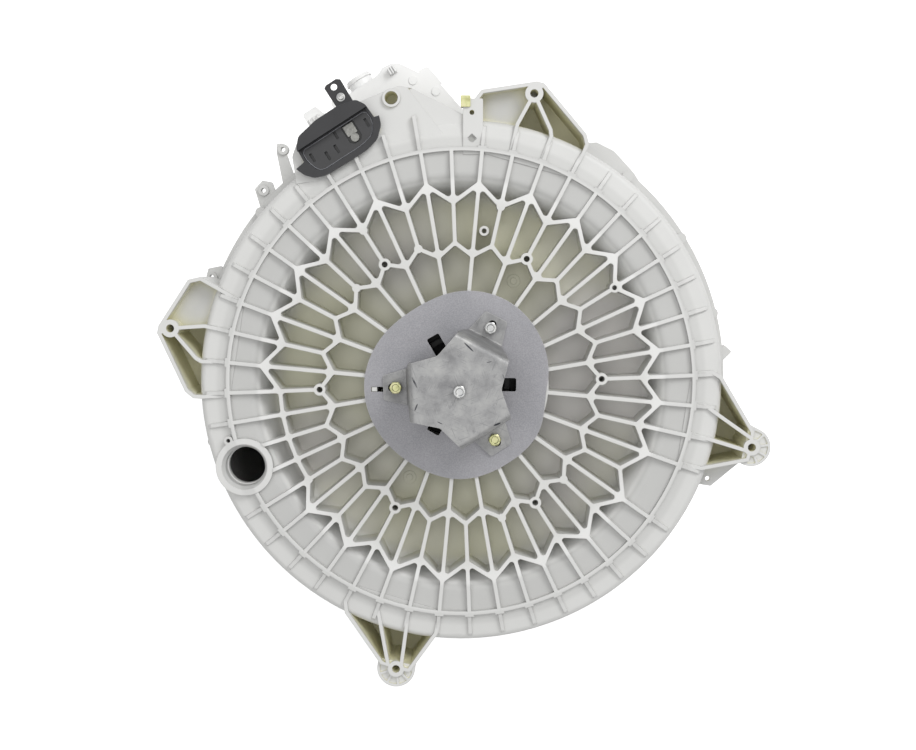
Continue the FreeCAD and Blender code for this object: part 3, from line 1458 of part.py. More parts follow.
SLOT_PLACES = [(289, -3), (289, 66), (282, 12), (283, 24), (296, 31)]
POCKET_OUTLINE = [(300, 39), (300, 55), (281, 55), (277, 51), (277, 43), (281, 39)]
LATCH_OUTLINE = [(287, 41), (299, 41), (299, 53), (287, 53)]
STUD_PLACE = (283, 47)


def connector_block():
    """The terminal block inside the hood, with slots and a latch pocket."""
    thin = size("connector_wall")
    high = deck + size("block_height")
    body = prism(inset(upper_side(CONNECTOR_OUTLINE), thin), size("connector_round") - thin, deck, high)
    long, wide = size("slot_length") / 2, size("slot_width") / 2
    for up, side in SLOT_PLACES:
        slot = upper_side([(up - long, side - wide), (up + long, side - wide),
                           (up + long, side + wide), (up - long, side + wide)])
        low = high - size("slot_depth")
        body = body.cut(prism(counter_clockwise(slot), 1.0, low, high))
    pocket = counter_clockwise(upper_side(POCKET_OUTLINE))
    return body.cut(prism(pocket, 2.0, high - size("pocket_depth"), high))


def connector_latch():
    """A small pressed plate in the pocket, with its round stud."""
    floor = deck + size("block_height") - size("pocket_depth")
    plate = counter_clockwise(upper_side(LATCH_OUTLINE))
    plate = prism(plate, 1.0, floor, floor + size("latch_height"))
    stud = upper_side([STUD_PLACE])[0]
    return plate.fuse(post(stud, size("stud_radius"), floor, floor + size("stud_height")))


def connector_screw():
    place = upper_side([SCREW_PLACE])[0]
    seat = deck + size("tab_thickness")
    head = post(place, size("small_screw_head"), seat, seat + size("small_screw_head_height"))
    shank = post(place, size("small_screw_radius"), seat - size("small_screw_length"), seat)
    socket = hexagon(place, size("socket_radius"), seat + size("socket_floor"),
                     seat + size("small_screw_head_height"))
    return head.fuse(shank).cut(socket)


formed("connector_hood", connector_hood())
formed("connector_block", connector_block())
formed("connector_latch", connector_latch())
formed("connector_screw", connector_screw())
formed("strap_clip", strap_clip())

document.recompute()
os.makedirs("parts", exist_ok=True)
broken = []
for item in document.Objects:
    if "Invalid" in item.State or "Error" in item.State:
        broken.append(item.Name)
pieces = [item for item in document.Objects if item.TypeId in ("PartDesign::Body", "Part::Feature")]
for piece in pieces:
    if piece.Shape.isNull() or not piece.Shape.isValid():
        broken.append(piece.Label)
if broken:
    raise RuntimeError("not sound: " + ", ".join(broken))
for piece in pieces:
    piece.Shape.exportStep("parts/" + piece.Label + ".step")
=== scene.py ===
import json
import math

import bmesh
import bpy
from mathutils import Matrix, Vector


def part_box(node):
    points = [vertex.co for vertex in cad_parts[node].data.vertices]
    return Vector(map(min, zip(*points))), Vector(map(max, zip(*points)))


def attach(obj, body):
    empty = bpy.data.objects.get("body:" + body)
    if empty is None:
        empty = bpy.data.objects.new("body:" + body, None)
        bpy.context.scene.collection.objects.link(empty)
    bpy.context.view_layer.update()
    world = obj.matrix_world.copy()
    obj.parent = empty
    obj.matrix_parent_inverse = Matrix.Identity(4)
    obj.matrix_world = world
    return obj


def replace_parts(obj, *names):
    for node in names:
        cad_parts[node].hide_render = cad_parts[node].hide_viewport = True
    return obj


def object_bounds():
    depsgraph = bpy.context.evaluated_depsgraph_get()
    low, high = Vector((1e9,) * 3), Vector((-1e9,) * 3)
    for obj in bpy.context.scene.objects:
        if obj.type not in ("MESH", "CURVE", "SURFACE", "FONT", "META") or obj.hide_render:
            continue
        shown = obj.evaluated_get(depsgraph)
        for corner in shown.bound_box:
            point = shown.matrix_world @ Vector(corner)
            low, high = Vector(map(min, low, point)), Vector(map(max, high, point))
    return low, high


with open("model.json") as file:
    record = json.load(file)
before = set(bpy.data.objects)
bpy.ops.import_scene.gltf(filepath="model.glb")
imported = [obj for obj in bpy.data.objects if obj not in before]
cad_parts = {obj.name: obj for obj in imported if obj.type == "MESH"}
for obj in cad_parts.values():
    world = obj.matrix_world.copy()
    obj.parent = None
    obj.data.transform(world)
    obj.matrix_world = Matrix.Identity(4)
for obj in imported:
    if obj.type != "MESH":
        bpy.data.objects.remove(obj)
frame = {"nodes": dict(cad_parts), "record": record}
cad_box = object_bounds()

MM = 0.001

# Levels and places that the frame or the machine's layout gives.
RIB_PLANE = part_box("hub_plate")[0][2]
HUB_PLATE_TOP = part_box("hub_plate")[1][2]
BLOCK_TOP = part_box("connector_block")[1][2]
UP_ANGLE = math.radians(122.5)
BOLT_ANGLES = [math.radians(62.23 + 120 * index) for index in range(3)]

# Refractive indices of the moulded plastics and the rubber.
POLYPROPYLENE, NYLON, POLYESTER, NITRILE = 1.49, 1.53, 1.57, 1.52

# Colour sockets of a mix node: the base, what goes over it, and the result.
MIX_BASE, MIX_OVER, MIX_RESULT = 6, 7, 2

# Faces that meet at more than this angle, in radians, keep a sharp edge between them.
SHARP = 0.6


def linear(hex_colour):
    """An sRGB hex colour as the linear colour that a socket takes."""
    channels = [int(hex_colour[place:place + 2], 16) / 255 for place in (1, 3, 5)]
    return [c / 12.92 if c <= 0.04045 else ((c + 0.055) / 1.055) ** 2.4 for c in channels] + [1.0]


def grey(value):
    return (value, value, value, 1.0)


def polar(radius, angle, height=0.0):
    return Vector((radius * math.cos(angle), radius * math.sin(angle), height))


def add_node(tree, kind, settings=None, inputs=None, stops=()):
    """A node with its settings, inputs and ramp stops of (position, colour). An input is a
    socket that feeds it, a value, or a colour as a hex string."""
    node = tree.nodes.new(kind)
    for name, value in (settings or {}).items():
        setattr(node, name, value)
    for key, value in (inputs or {}).items():
        if isinstance(value, bpy.types.NodeSocket):
            tree.links.new(value, node.inputs[key])
        else:
            node.inputs[key].default_value = linear(value) if isinstance(value, str) else value
    while stops and len(node.color_ramp.elements) < len(stops):
        node.color_ramp.elements.new(0.5)
    for index, (position, colour) in enumerate(stops):
        node.color_ramp.elements[index].position = position
        node.color_ramp.elements[index].color = linear(colour) if isinstance(colour, str) else colour
    return node


def new_material(name, **values):
    """A material and its tree, its shader with the named values set, and its coordinates."""
    material = bpy.data.materials.new(name)
    material.use_nodes = True
    tree = material.node_tree
    shader = tree.nodes["Principled BSDF"]
    for key, value in values.items():
        shader.inputs[key].default_value = value
    return material, tree, shader, add_node(tree, "ShaderNodeTexCoord").outputs["Object"]


def mottled(tree, place, size, detail, stops, roughness=0.5):
    """A colour that drifts in patches of a size in millimetres; returns its noise and itself."""
    noise = add_node(tree, "ShaderNodeTexNoise", inputs={"Vector": place, "Scale": 1 / (size * MM),
                                                         "Detail": detail, "Roughness": roughness})
    ramp = add_node(tree, "ShaderNodeValToRGB", inputs={"Fac": noise.outputs["Fac"]}, stops=stops)
    return noise.outputs["Fac"], ramp.outputs["Color"]


def overlap(tree, masks):
    """Where all masks allow, as one socket. A mask is a socket, or (value, low, high) for a
    smooth step from 0 at low to 1 at high."""
    total = None
    for mask in masks:
        if isinstance(mask, tuple):
            step = add_node(tree, "ShaderNodeMapRange", {"interpolation_type": "SMOOTHSTEP"},
                            {"Value": mask[0], "From Min": mask[1], "From Max": mask[2]})
            mask = step.outputs["Result"]
        if total is not None:
            both = add_node(tree, "ShaderNodeMath", {"operation": "MULTIPLY"}, {0: total, 1: mask})
            mask = both.outputs["Value"]
        total = mask
    return total


def coat(tree, base, colour, *masks, blend="MIX"):
    """Lays a colour over a base colour, everywhere or where all masks allow it."""
    mix = add_node(tree, "ShaderNodeMix", {"data_type": "RGBA", "blend_type": blend},
                   {"Factor": overlap(tree, masks) if masks else 1.0, MIX_BASE: base, MIX_OVER: colour})
    return mix.outputs[MIX_RESULT]


def height_and_reach(tree, place):
    """Millimetres over the plane of the rib tops, and from the tub's axis."""
    sized = add_node(tree, "ShaderNodeVectorMath", {"operation": "MULTIPLY_ADD"},
                     {0: place, 1: (1 / MM, 1 / MM, 1 / MM), 2: (0.0, 0.0, -RIB_PLANE / MM)})
    split = add_node(tree, "ShaderNodeSeparateXYZ", inputs={"Vector": sized.outputs["Vector"]})
    flat = add_node(tree, "ShaderNodeVectorMath", {"operation": "MULTIPLY"},
                    {0: sized.outputs["Vector"], 1: (1.0, 1.0, 0.0)})
    reach = add_node(tree, "ShaderNodeVectorMath", {"operation": "LENGTH"},
                     {0: flat.outputs["Vector"]})
    return split.outputs["Z"], reach.outputs["Value"]


def painted_edge_highlight(tree, radius):
    """A mask of the edges for a painted highlight, from how far a rounding of them turns the surface."""
    rounded = add_node(tree, "ShaderNodeBevel", {"samples": 8}, {"Radius": radius})
    face = add_node(tree, "ShaderNodeNewGeometry")
    turn = add_node(tree, "ShaderNodeVectorMath", {"operation": "DOT_PRODUCT"},
                    {0: rounded.outputs["Normal"], 1: face.outputs["Normal"]})
    return turn.outputs["Value"], 0.995, 0.86


def either(tree, masks):
    """Where any of the masks, all sockets, allows."""
    total = masks[0]
    for mask in masks[1:]:
        most = add_node(tree, "ShaderNodeMath", {"operation": "MAXIMUM"}, {0: total, 1: mask})
        total = most.outputs["Value"]
    return total


def spots(tree, place, rows):
    """A mask of soft-edged ellipses that stand upright, from rows of x, y, turn in degrees,
    half length and half width."""
    found = []
    for x, y, turn, length, width in rows:
        at = add_node(tree, "ShaderNodeMapping", {"vector_type": "TEXTURE"},
                      {"Vector": place, "Location": (x * MM, y * MM, 0.0),
                       "Rotation": (0.0, 0.0, math.radians(turn)),
                       "Scale": (length * MM, width * MM, 1000.0)})
        away = add_node(tree, "ShaderNodeVectorMath", {"operation": "LENGTH"},
                        {0: at.outputs["Vector"]})
        found.append(overlap(tree, [(away.outputs["Value"], 1.0, 0.7)]))
    return either(tree, found)


def drifting_roughness(tree, shader, feed, at_low, at_high, low=0.0, high=1.0):
    """Roughness that follows a pattern between two of the pattern's levels."""
    rough = add_node(tree, "ShaderNodeMapRange", inputs={"Value": feed, "From Min": low, "From Max": high,
                                                         "To Min": at_low, "To Max": at_high})
    tree.links.new(rough.outputs["Result"], shader.inputs["Roughness"])


def finish_surface(tree, shader, colour, relief, strength, depth, edge_round=0.0):
    """Gives the shader its colour and a bump, over softened edges where asked; in millimetres."""
    tree.links.new(colour, shader.inputs["Base Color"])
    inputs = {"Height": relief, "Strength": strength, "Distance": depth * MM}
    if edge_round:
        edge = add_node(tree, "ShaderNodeBevel", {"samples": 6}, {"Radius": edge_round * MM})
        inputs["Normal"] = edge.outputs["Normal"]
    bump = add_node(tree, "ShaderNodeBump", inputs=inputs)
    tree.links.new(bump.outputs["Normal"], shader.inputs["Normal"])


def spark_grain(tree, shader, place, colour, mottle):
    """A mould's spark-eroded grain, drawn at 1.1 mm, coarser than it is, so that it shows, and
    a sheen that drifts with the flow mottling."""
    drifting_roughness(tree, shader, mottle, 0.42, 0.52)
    grain = add_node(tree, "ShaderNodeTexNoise", inputs={"Vector": place, "Scale": 1 / (1.1111 * MM),
                                                         "Detail": 2.0, "Roughness": 0.6})
    finish_surface(tree, shader, colour, grain.outputs["Fac"], strength=0.12, depth=0.2, edge_round=0.9)


def inlet_polypropylene_painted_light():
    """The inlet moulding's polypropylene: whiter than the tub as painted light, waxy and even."""
    material, tree, shader, place = new_material("inlet_polypropylene_painted_light", IOR=POLYPROPYLENE)
    mottle, base = mottled(tree, place, 62.5, 3.0, [(0.3, "#E4E4E3"), (0.7, "#EDEDEC")])
    spark_grain(tree, shader, place, base, mottle)
    return material


def cell_colour_painted_shade(tree, place, height, reach):
    """Inside the bulge, with painted shade by depth: olive and grey floors, darker round the hub, and
    paler rib tops.
    """
    # Painted shade: the colour goes from the olive floor up to the paler rib tops with height.
    rise = overlap(tree, [(height, -40.0, -10.0)])
    floor = mottled(tree, place, 166.67, 1.0,
                    [(0.38, "#DDDCC8"), (0.52, "#DBDACF"), (0.62, "#DBD9D6")])[1]
    floor = coat(tree, floor, grey(0.84), (reach, 158.0, 136.0), blend="MULTIPLY")
    rib = add_node(tree, "ShaderNodeValToRGB", inputs={"Fac": rise},
                   stops=[(0.0, "#D2D1C0"), (0.5, "#D0CFC7"), (1.0, "#CECECB")])
    return coat(tree, floor, rib.outputs["Color"], rise)


def outer_colour_painted_light_and_shade(tree, height, reach):
    """From the bulge outwards, painted light and shade: a darker flat crest between the ribs as painted
    shade, a paler slope as painted light, and a slightly darker band inside the rim as painted shade.
    """
    slope, rim = (reach, 223.0, 217.0), (reach, 250.5, 253.5)
    # Painted shade on the flat crest between the ribs; ribs, rim and slope are paler.
    base = "#BABAB8"
    for mask in ((height, -6.4, -4.6), rim, slope):
        base = coat(tree, base, "#CFCFCD", mask)
    # Painted shade on the band just inside the rim.
    base = coat(tree, base, "#C6C6C4", rim, (reach, 268.0, 262.0))
    # Painted light on the slope down to the zigzag.
    return coat(tree, base, "#DBDBD9", slope)


def pocket_painted_light_and_shade(tree, base, height, reach):
    """Painted light and shade in the ears and bosses: a pale olive where they are deeply occluded, as
    painted light through the plastic, and greyer floors in the ears' shallow pockets as painted shade.
    """
    # Painted light: a pale olive where the surface is occluded deep in the ears and bosses.
    shade = add_node(tree, "ShaderNodeAmbientOcclusion", {"samples": 8}, {"Distance": 55 * MM})
    base = coat(tree, base, "#E2DFC2", (shade.outputs["AO"], 0.50, 0.24), (reach, 280.0, 286.0),
                (height, -82.0, -72.0))
    # Painted shade on the upward floors of the ears' shallow pockets.
    face = add_node(tree, "ShaderNodeNewGeometry")
    facing = add_node(tree, "ShaderNodeSeparateXYZ", inputs={"Vector": face.outputs["Normal"]})
    return coat(tree, base, grey(0.78), (facing.outputs["Z"], 0.85, 0.97), (reach, 284.0, 288.0),
                (height, -28.0, -26.0), (height, -14.0, -16.0), blend="MULTIPLY")


# The strap's small recess, its bottom painted grey as shade, as a row of spots().
STRAP_RECESS_PAINTED_SHADE = (12.2, 263.0, 0, 4.3, 4.3)


def moulded_polypropylene():
    """Filled polypropylene, injection moulded: a satin grey-white with painted shade and light that turn
    it olive deep in the cells and pockets, greyer here and there, with a fine spark-eroded grain and flow
    mottling. The well round the hub is painted black as shadow."""
    material, tree, shader, place = new_material("moulded_polypropylene", IOR=POLYPROPYLENE)
    height, reach = height_and_reach(tree, place)
    base = coat(tree, cell_colour_painted_shade(tree, place, height, reach), outer_colour_painted_light_and_shade(tree, height, reach),
                (reach, 190.0, 214.0))
    # Painted shade in the bottom of the strap's recess.
    base = coat(tree, base, "#9E9E9B", spots(tree, place, [STRAP_RECESS_PAINTED_SHADE]))
    base = pocket_painted_light_and_shade(tree, base, height, reach)
    # Painted shadow: the well round the hub, black below the plate.
    painted_shadow_well = (reach, 64.0, 63.0), (height, -0.4, -0.8)
    base = coat(tree, base, "#0C0C0C", *painted_shadow_well)
    mottle, tone = mottled(tree, place, 71.43, 3.0, [(0.3, grey(0.95)), (0.7, grey(1.0))])
    spark_grain(tree, shader, place, coat(tree, base, tone, blend="MULTIPLY"), mottle)
    return material


# Gouges in the bracket's top, as rows of spots().
BRACKET_GOUGES = [(-45.6, 9.0, -64, 7.0, 1.1), (-44.1, -16.2, 68, 4.5, 0.9), (9.4, 45.1, -44, 7.5, 1.0),
                  (38.3, -33.3, 21, 4.5, 1.2), (44.7, 14.8, -68, 3.5, 0.8), (30.0, 30.0, 12, 3.0, 0.6),
                  (-20.0, -32.0, -25, 3.5, 0.5)]


def hairline_scuffs(tree, place):
    """A mask of fine scuffs in four directions, about 26 mm long and 1 mm wide."""
    scuffs = []
    for turn in (0.35, 1.15, 1.9, 2.7):
        stretched = add_node(tree, "ShaderNodeMapping", {"vector_type": "TEXTURE"},
                             {"Vector": place, "Rotation": (0.0, 0.0, turn),
                              "Scale": (1.1 * MM, 26.0 * MM, 5.0 * MM)})
        line = add_node(tree, "ShaderNodeTexNoise",
                        inputs={"Vector": stretched.outputs["Vector"], "Scale": 1.0, "Detail": 1.0})
        scuffs.append(overlap(tree, [(line.outputs["Fac"], 0.67, 0.73)]))
    return either(tree, scuffs)


def zinc_plated_steel():
    """Pressed steel with a dull zinc plating: mid grey, clouded and smudged by handling, with hairline
    scuffs, a few short dark gouges near the bends, and lighter edges as a painted highlight."""
    material, tree, shader, place = new_material("zinc_plated_steel", Metallic=0.45)
    cloud, base = mottled(tree, place, 29.412, 8.0,
                          [(0.32, "#7F7F80"), (0.50, "#969696"), (0.70, "#A8A8A6")], 0.66)
    smudges = mottled(tree, place, 10.526, 5.0, [(0.58, grey(0.0)), (0.74, grey(0.55))], 0.75)[1]
    base = coat(tree, base, "#636366", smudges)
    base = coat(tree, base, "#6E6E70", hairline_scuffs(tree, place), 0.45)
    gouges = overlap(tree, [spots(tree, place, BRACKET_GOUGES), (cloud, 0.36, 0.52)])
    base = coat(tree, base, "#3C3D42", gouges)
    # Painted highlight on the bracket's edges.
    base = coat(tree, base, "#B4B4B2", painted_edge_highlight(tree, 1.1 * MM))
    drifting_roughness(tree, shader, cloud, 0.58, 0.44, low=0.3, high=0.7)
    finish_surface(tree, shader, base, gouges, strength=0.3, depth=-0.2, edge_round=0.6)
    return material


def yellow_chromate_zinc():
    """Zinc with a yellow chromate film: pale straw metal that drifts to green."""
    material, tree, shader, place = new_material("yellow_chromate_zinc", Metallic=1.0, Roughness=0.38)
    drift, base = mottled(tree, place, 7.143, 4.0,
                          [(0.32, "#9C9B70"), (0.5, "#B6B68A"), (0.7, "#BFB998")])
    finish_surface(tree, shader, base, drift, strength=0.1, depth=0.1, edge_round=0.3)
    return material


def bright_zinc():
    """Bright zinc on a turned or headed fastener: clean silver with a fine lay."""
    material, tree, shader, place = new_material("bright_zinc", Metallic=1.0)
    cloud, base = mottled(tree, place, 4.5455, 4.0, [(0.3, "#9FA0A1"), (0.7, "#BFBFBC")])
    drifting_roughness(tree, shader, cloud, 0.28, 0.42)
    finish_surface(tree, shader, base, cloud, strength=0.08, depth=0.1, edge_round=0.3)
    return material


def phosphated_plate():
    """Phosphated steel: a dead matt, faintly violet grey, painted black as shadow under the slots of the
    bracket's feet, with a painted highlight on its edges. Its crystal speckle is drawn at 1.3 mm, coarser
    than it is, to show."""
    material, tree, shader, place = new_material("phosphated_plate", Metallic=0.3)
    base = mottled(tree, place, 55.556, 4.0, [(0.32, "#949498"), (0.68, "#9F9EA2")])[1]
    crystal, speckle = mottled(tree, place, 1.3158, 3.0,
                               [(0.40, grey(0.86)), (0.5, grey(0.97)), (0.66, grey(1.12))], 0.7)
    base = coat(tree, base, speckle, blend="MULTIPLY")
    slot_circle, slot_radius = 74.6, 4.6
    painted_shadow_openings = [(*polar(slot_circle, angle).xy, 0, slot_radius, slot_radius) for angle in BOLT_ANGLES]
    # Painted shadow: black discs where the slots of the bracket's feet open.
    base = coat(tree, base, "#0F0F10", spots(tree, place, painted_shadow_openings))
    # Painted highlight on the plate's edges.
    base = coat(tree, base, "#B9B9BC", painted_edge_highlight(tree, 0.9 * MM))
    drifting_roughness(tree, shader, crystal, 0.50, 0.66)
    finish_surface(tree, shader, base, crystal, strength=0.25, depth=0.1, edge_round=0.5)
    return material


def cast_metal(name, light, dark, roughness):
    """Cast or turned metal with a sandy skin, softly mottled."""
    material, tree, shader, place = new_material(name, Metallic=1.0, Roughness=roughness)
    skin, base = mottled(tree, place, 3.125, 5.0, [(0.3, dark), (0.7, light)], 0.6)
    finish_surface(tree, shader, base, skin, strength=0.3, depth=0.2, edge_round=0.5)
    return material


def brushed_stainless():
    """Ferritic stainless sheet, rolled and brushed along the drum's turn: fine level
    lines that stretch the highlights."""
    material, tree, shader, place = new_material("brushed_stainless", Metallic=1.0)
    length, pitch = 83.333, 0.38462
    lay = add_node(tree, "ShaderNodeMapping",
                   inputs={"Vector": place, "Scale": (1 / length, 1 / length, 1 / pitch)})
    lines, base = mottled(tree, lay.outputs["Vector"], 1.0, 3.0, [(0.3, "#A9ABAD"), (0.7, "#C9CBCC")])
    drifting_roughness(tree, shader, lines, 0.24, 0.40)
    finish_surface(tree, shader, base, lines, strength=0.1, depth=0.05)
    return material


def small_moulding(name, light, dark, index, roughness, grain_size, grain_strength, edge_highlight_colour=None):
    """A small moulding: even colour with a slight drift, a fine grain, and paler edges as a painted
    highlight where an edge colour is given.
    """
    material, tree, shader, place = new_material(name, IOR=index, Roughness=roughness)
    base = mottled(tree, place, 25.0, 3.0, [(0.3, dark), (0.7, light)])[1]
    grain = add_node(tree, "ShaderNodeTexNoise",
                     inputs={"Vector": place, "Scale": 1 / (grain_size * MM), "Detail": 2.0})
    if edge_highlight_colour:
        # Painted highlight on the edges.
        base = coat(tree, base, edge_highlight_colour, painted_edge_highlight(tree, 0.8 * MM))
    finish_surface(tree, shader, base, grain.outputs["Fac"], grain_strength, depth=0.1, edge_round=0.5)
    return material


def terminal_polyester():
    """Glass-filled polyester of the terminal block: black and smooth, with painted shade darkest in its
    slots and a painted highlight on its edges.
    """
    material, tree, shader, place = new_material("terminal_polyester", IOR=POLYESTER, Roughness=0.42)
    height = height_and_reach(tree, place)[0]
    block_top = (BLOCK_TOP - RIB_PLANE) / MM
    base = mottled(tree, place, 16.667, 4.0, [(0.3, "#161618"), (0.7, "#1E1E21")])[1]
    # Painted shade in the block's slots.
    base = coat(tree, base, "#070708", (height, block_top - 0.4, block_top - 1.2))
    # Painted highlight on the block's edges.
    base = coat(tree, base, "#3C3D42", painted_edge_highlight(tree, 0.6 * MM))
    grain = add_node(tree, "ShaderNodeTexNoise",
                     inputs={"Vector": place, "Scale": 1 / (1.5385 * MM), "Detail": 2.0})
    finish_surface(tree, shader, base, grain.outputs["Fac"], strength=0.15, depth=0.1, edge_round=0.4)
    return material


# The finish of each slot of the frame.
FINISHES = {
    "tub_plastic": moulded_polypropylene(),
    "zinc_steel": bright_zinc(),
    "yellow_zinc": yellow_chromate_zinc(),
    "plate_metal": phosphated_plate(),
    # Die-cast aluminium of the drum's spider: a sandy, pale grey casting skin.
    "cast_aluminium": cast_metal("die_cast_aluminium", "#B9BABC", "#9C9DA0", roughness=0.5),
    # Through-hardened bearing rings, ground: darker and smoother than the casting.
    "bearing_steel": cast_metal("ground_bearing_steel", "#B5B7B9", "#A2A4A7", roughness=0.25),
    # Turned carbon steel of the shaft, lightly oiled: a dark, half-bright grey.
    "shaft_steel": cast_metal("turned_carbon_steel", "#8E8E90", "#6F7072", roughness=0.35),
    # Stamped spring steel of the latch: mid grey, dulled by its oil.
    "latch_steel": cast_metal("stamped_spring_steel", "#8F8F8B", "#6C6C69", roughness=0.4),
    "stainless": brushed_stainless(),
    # Nitrile rubber of the seals, moulded: a deep black without shine.
    "gasket_rubber": small_moulding("nitrile_rubber", "#26262A", "#1D1D20", NITRILE, roughness=0.75,
                                    grain_size=2.0, grain_strength=0.3),
    # Glass-filled nylon of the bearing cages: warm ivory and half dull.
    "cage_plastic": small_moulding("glass_filled_nylon", "#CDBB8C", "#BBA878", NYLON, roughness=0.5,
                                   grain_size=1.4286, grain_strength=0.3),
    # Polypropylene of the lifters: a cool pale grey with a soft sheen.
    "lifter_plastic": small_moulding("lifter_polypropylene", "#C4C8CE", "#B8BCC3", POLYPROPYLENE,
                                     roughness=0.42, grain_size=1.25, grain_strength=0.15),
    # Black nylon of the connector's hood: charcoal with a soft sheen on the grain, and paler edges as a
    # painted highlight.
    "black_plastic": small_moulding("black_nylon", "#202023", "#18181B", NYLON, roughness=0.48,
                                    grain_size=1.5385, grain_strength=0.35, edge_highlight_colour="#3E3F43"),
    "block_plastic": terminal_polyester(),
}
# Nodes whose finish isn't their slot's.
OWN_FINISHES = {
    # Painted light: the inlet manifold is whiter than the tub.
    "inlet_manifold": inlet_polypropylene_painted_light(),
    "shipping_bracket": zinc_plated_steel(),
    # The cast hub, painted near black as shadow in its pockets.
    "bearing_hub": cast_metal("casting_painted_shadow_dark", "#2B2B2C", "#1B1B1C", roughness=0.6),
}


def dress_frame():
    """Gives each node of the frame the finish of its slot."""
    for part in frame["record"]["subparts"]:
        finish = FINISHES[part["material_slot"]]
        finish = OWN_FINISHES.get(part["node"], finish)
        node = frame["nodes"][part["node"]]
        for slot in node.material_slots:
            slot.material = finish


def link_mesh(name, mesh, material, body):
    """Puts a finished mesh in the scene as a piece that rides on a body."""
    piece = bpy.data.objects.new(name, mesh)
    bpy.context.collection.objects.link(piece)
    mesh.materials.clear()
    mesh.materials.append(material)
    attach(piece, body)
    return piece


def shade_by_angle(mesh, angle):
    """Smooth shading with sharp edges where faces meet at more than an angle."""
    build = bmesh.new()
    build.from_mesh(mesh)
    for face in build.faces:
        face.smooth = True
    for edge in build.edges:
        edge.smooth = len(edge.link_faces) == 2 and edge.calc_face_angle(0.0) < angle
    build.to_mesh(mesh)
    build.free()


def stacked_rings(name, stacks, looped=False, sharp=SHARP):
    """A mesh of closed solids, each a stack of rings with one point count. The stack has a
    cap at each end, or is looped so that its last ring meets the first."""
    build = bmesh.new()
    for rings in stacks:
        rows = [[build.verts.new(point) for point in ring] for ring in rings]
        count = len(rows[0])
        for low, high in zip(rows, rows[1:] + rows[:1] if looped else rows[1:]):
            for index in range(count):
                after = (index + 1) % count
                build.faces.new((low[index], low[after], high[after], high[index]))
        if not looped:
            build.faces.new(rows[0][::-1])
            build.faces.new(rows[-1])
    bmesh.ops.recalc_face_normals(build, faces=build.faces)
    mesh = bpy.data.meshes.new(name)
    build.to_mesh(mesh)
    build.free()
    shade_by_angle(mesh, sharp)
    return mesh


def round_ring(centre, radius, height, count):
    return [centre + polar(radius, math.tau * index / count, height) for index in range(count)]


def hex_ring(centre, across_corners, height, count, crown=0.0):
    """A hexagonal ring; with a crown its corners dip as a chamfered head's do."""
    chamfer = 0.58
    ring = []
    apothem = across_corners * math.cos(math.pi / 6)
    for index in range(count):
        turn = math.tau * index / count
        reach = apothem / math.cos((turn + math.pi / 6) % (math.pi / 3) - math.pi / 6)
        drop = max(0.0, reach - crown) * chamfer if crown else 0.0
        ring.append(centre + polar(reach, turn + math.pi / 6, height - drop))
    return ring


def hex_bolt(centre, seat, length):
    """Rings of an M8 bolt from the tip up: thread, washer face, chamfered and dished hexagon."""
    count = 48
    crest, root, pitch = 4.0 * MM, 3.45 * MM, 1.25 * MM
    washer, corner, head = 6.0 * MM, 6.95 * MM, seat + 6.9 * MM
    crown = 0.97 * corner * math.cos(math.pi / 6)
    profile = [(0.85 * root, seat - length)]
    for turn in range(int(0.75 * length / pitch)):
        low = seat - length + turn * pitch
        profile += [(root, low + 0.1 * pitch), (crest, low + 0.5 * pitch), (crest, low + 0.65 * pitch)]
    profile += [(crest, seat), (washer, seat), (washer, seat + 1.4 * MM)]
    dish = [(0.97 * crown, head), (0.70 * crown, head), (0.58 * crown, head - 0.6 * MM)]
    hexagon = [hex_ring(centre, corner, seat + 1.6 * MM, count),
               hex_ring(centre, corner, head, count, crown)]
    return ([round_ring(centre, radius, height, count) for radius, height in profile] + hexagon
            + [round_ring(centre, radius, height, count) for radius, height in dish])


def detailed_bolts():
    """Threads and chamfered heads on the bracket's bolts and the shaft's."""
    foot_top = HUB_PLATE_TOP + 3 * MM
    shaft_length = 26 * MM
    shaft_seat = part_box("shaft_bolt")[0][2] + shaft_length
    for node, body, slot, seat, length in (
            ("bracket_bolts", "tub", "yellow_zinc", foot_top, 22 * MM),
            ("bracket_bolt_plain", "tub", "zinc_steel", foot_top, 22 * MM),
            ("shaft_bolt", "drum", "zinc_steel", shaft_seat, shaft_length)):
        name = node + "_threaded"
        mesh = stacked_rings(name, [hex_bolt(centre, seat, length) for centre in node_circles(node)])
        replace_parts(link_mesh(name, mesh, FINISHES[slot], body), node)


def node_circles(node):
    """The centres of a node's separate solids, seen along the tub's axis."""
    widest = 12 * MM
    solids = []
    for vertex in frame["nodes"][node].data.vertices:
        flat = Vector((vertex.co.x, vertex.co.y, 0.0))
        for solid in solids:
            if (solid[0] / solid[1] - flat).length < widest:
                solid[0] += flat
                solid[1] += 1
                break
        else:
            solids.append([flat, 1])
    return [total / count for total, count in solids]


def upper_side(up, side, height):
    """A point at the machine's upper side, from millimetres upwards and sideways."""
    outward = polar(up * MM, UP_ANGLE)
    sideways = polar(side * MM, UP_ANGLE - math.pi / 2)
    return outward + sideways + Vector((0, 0, height))


# Corners of the bead round the terminal tray, in millimetres (upwards, sideways).
TRAY_CORNERS = [(300.8, -8.6), (300.8, 71.0), (288.0, 72.2), (275.6, 64.4), (271.9, 49.6), (271.9, 0.9),
                (275.8, -5.0), (288.0, -9.2)]


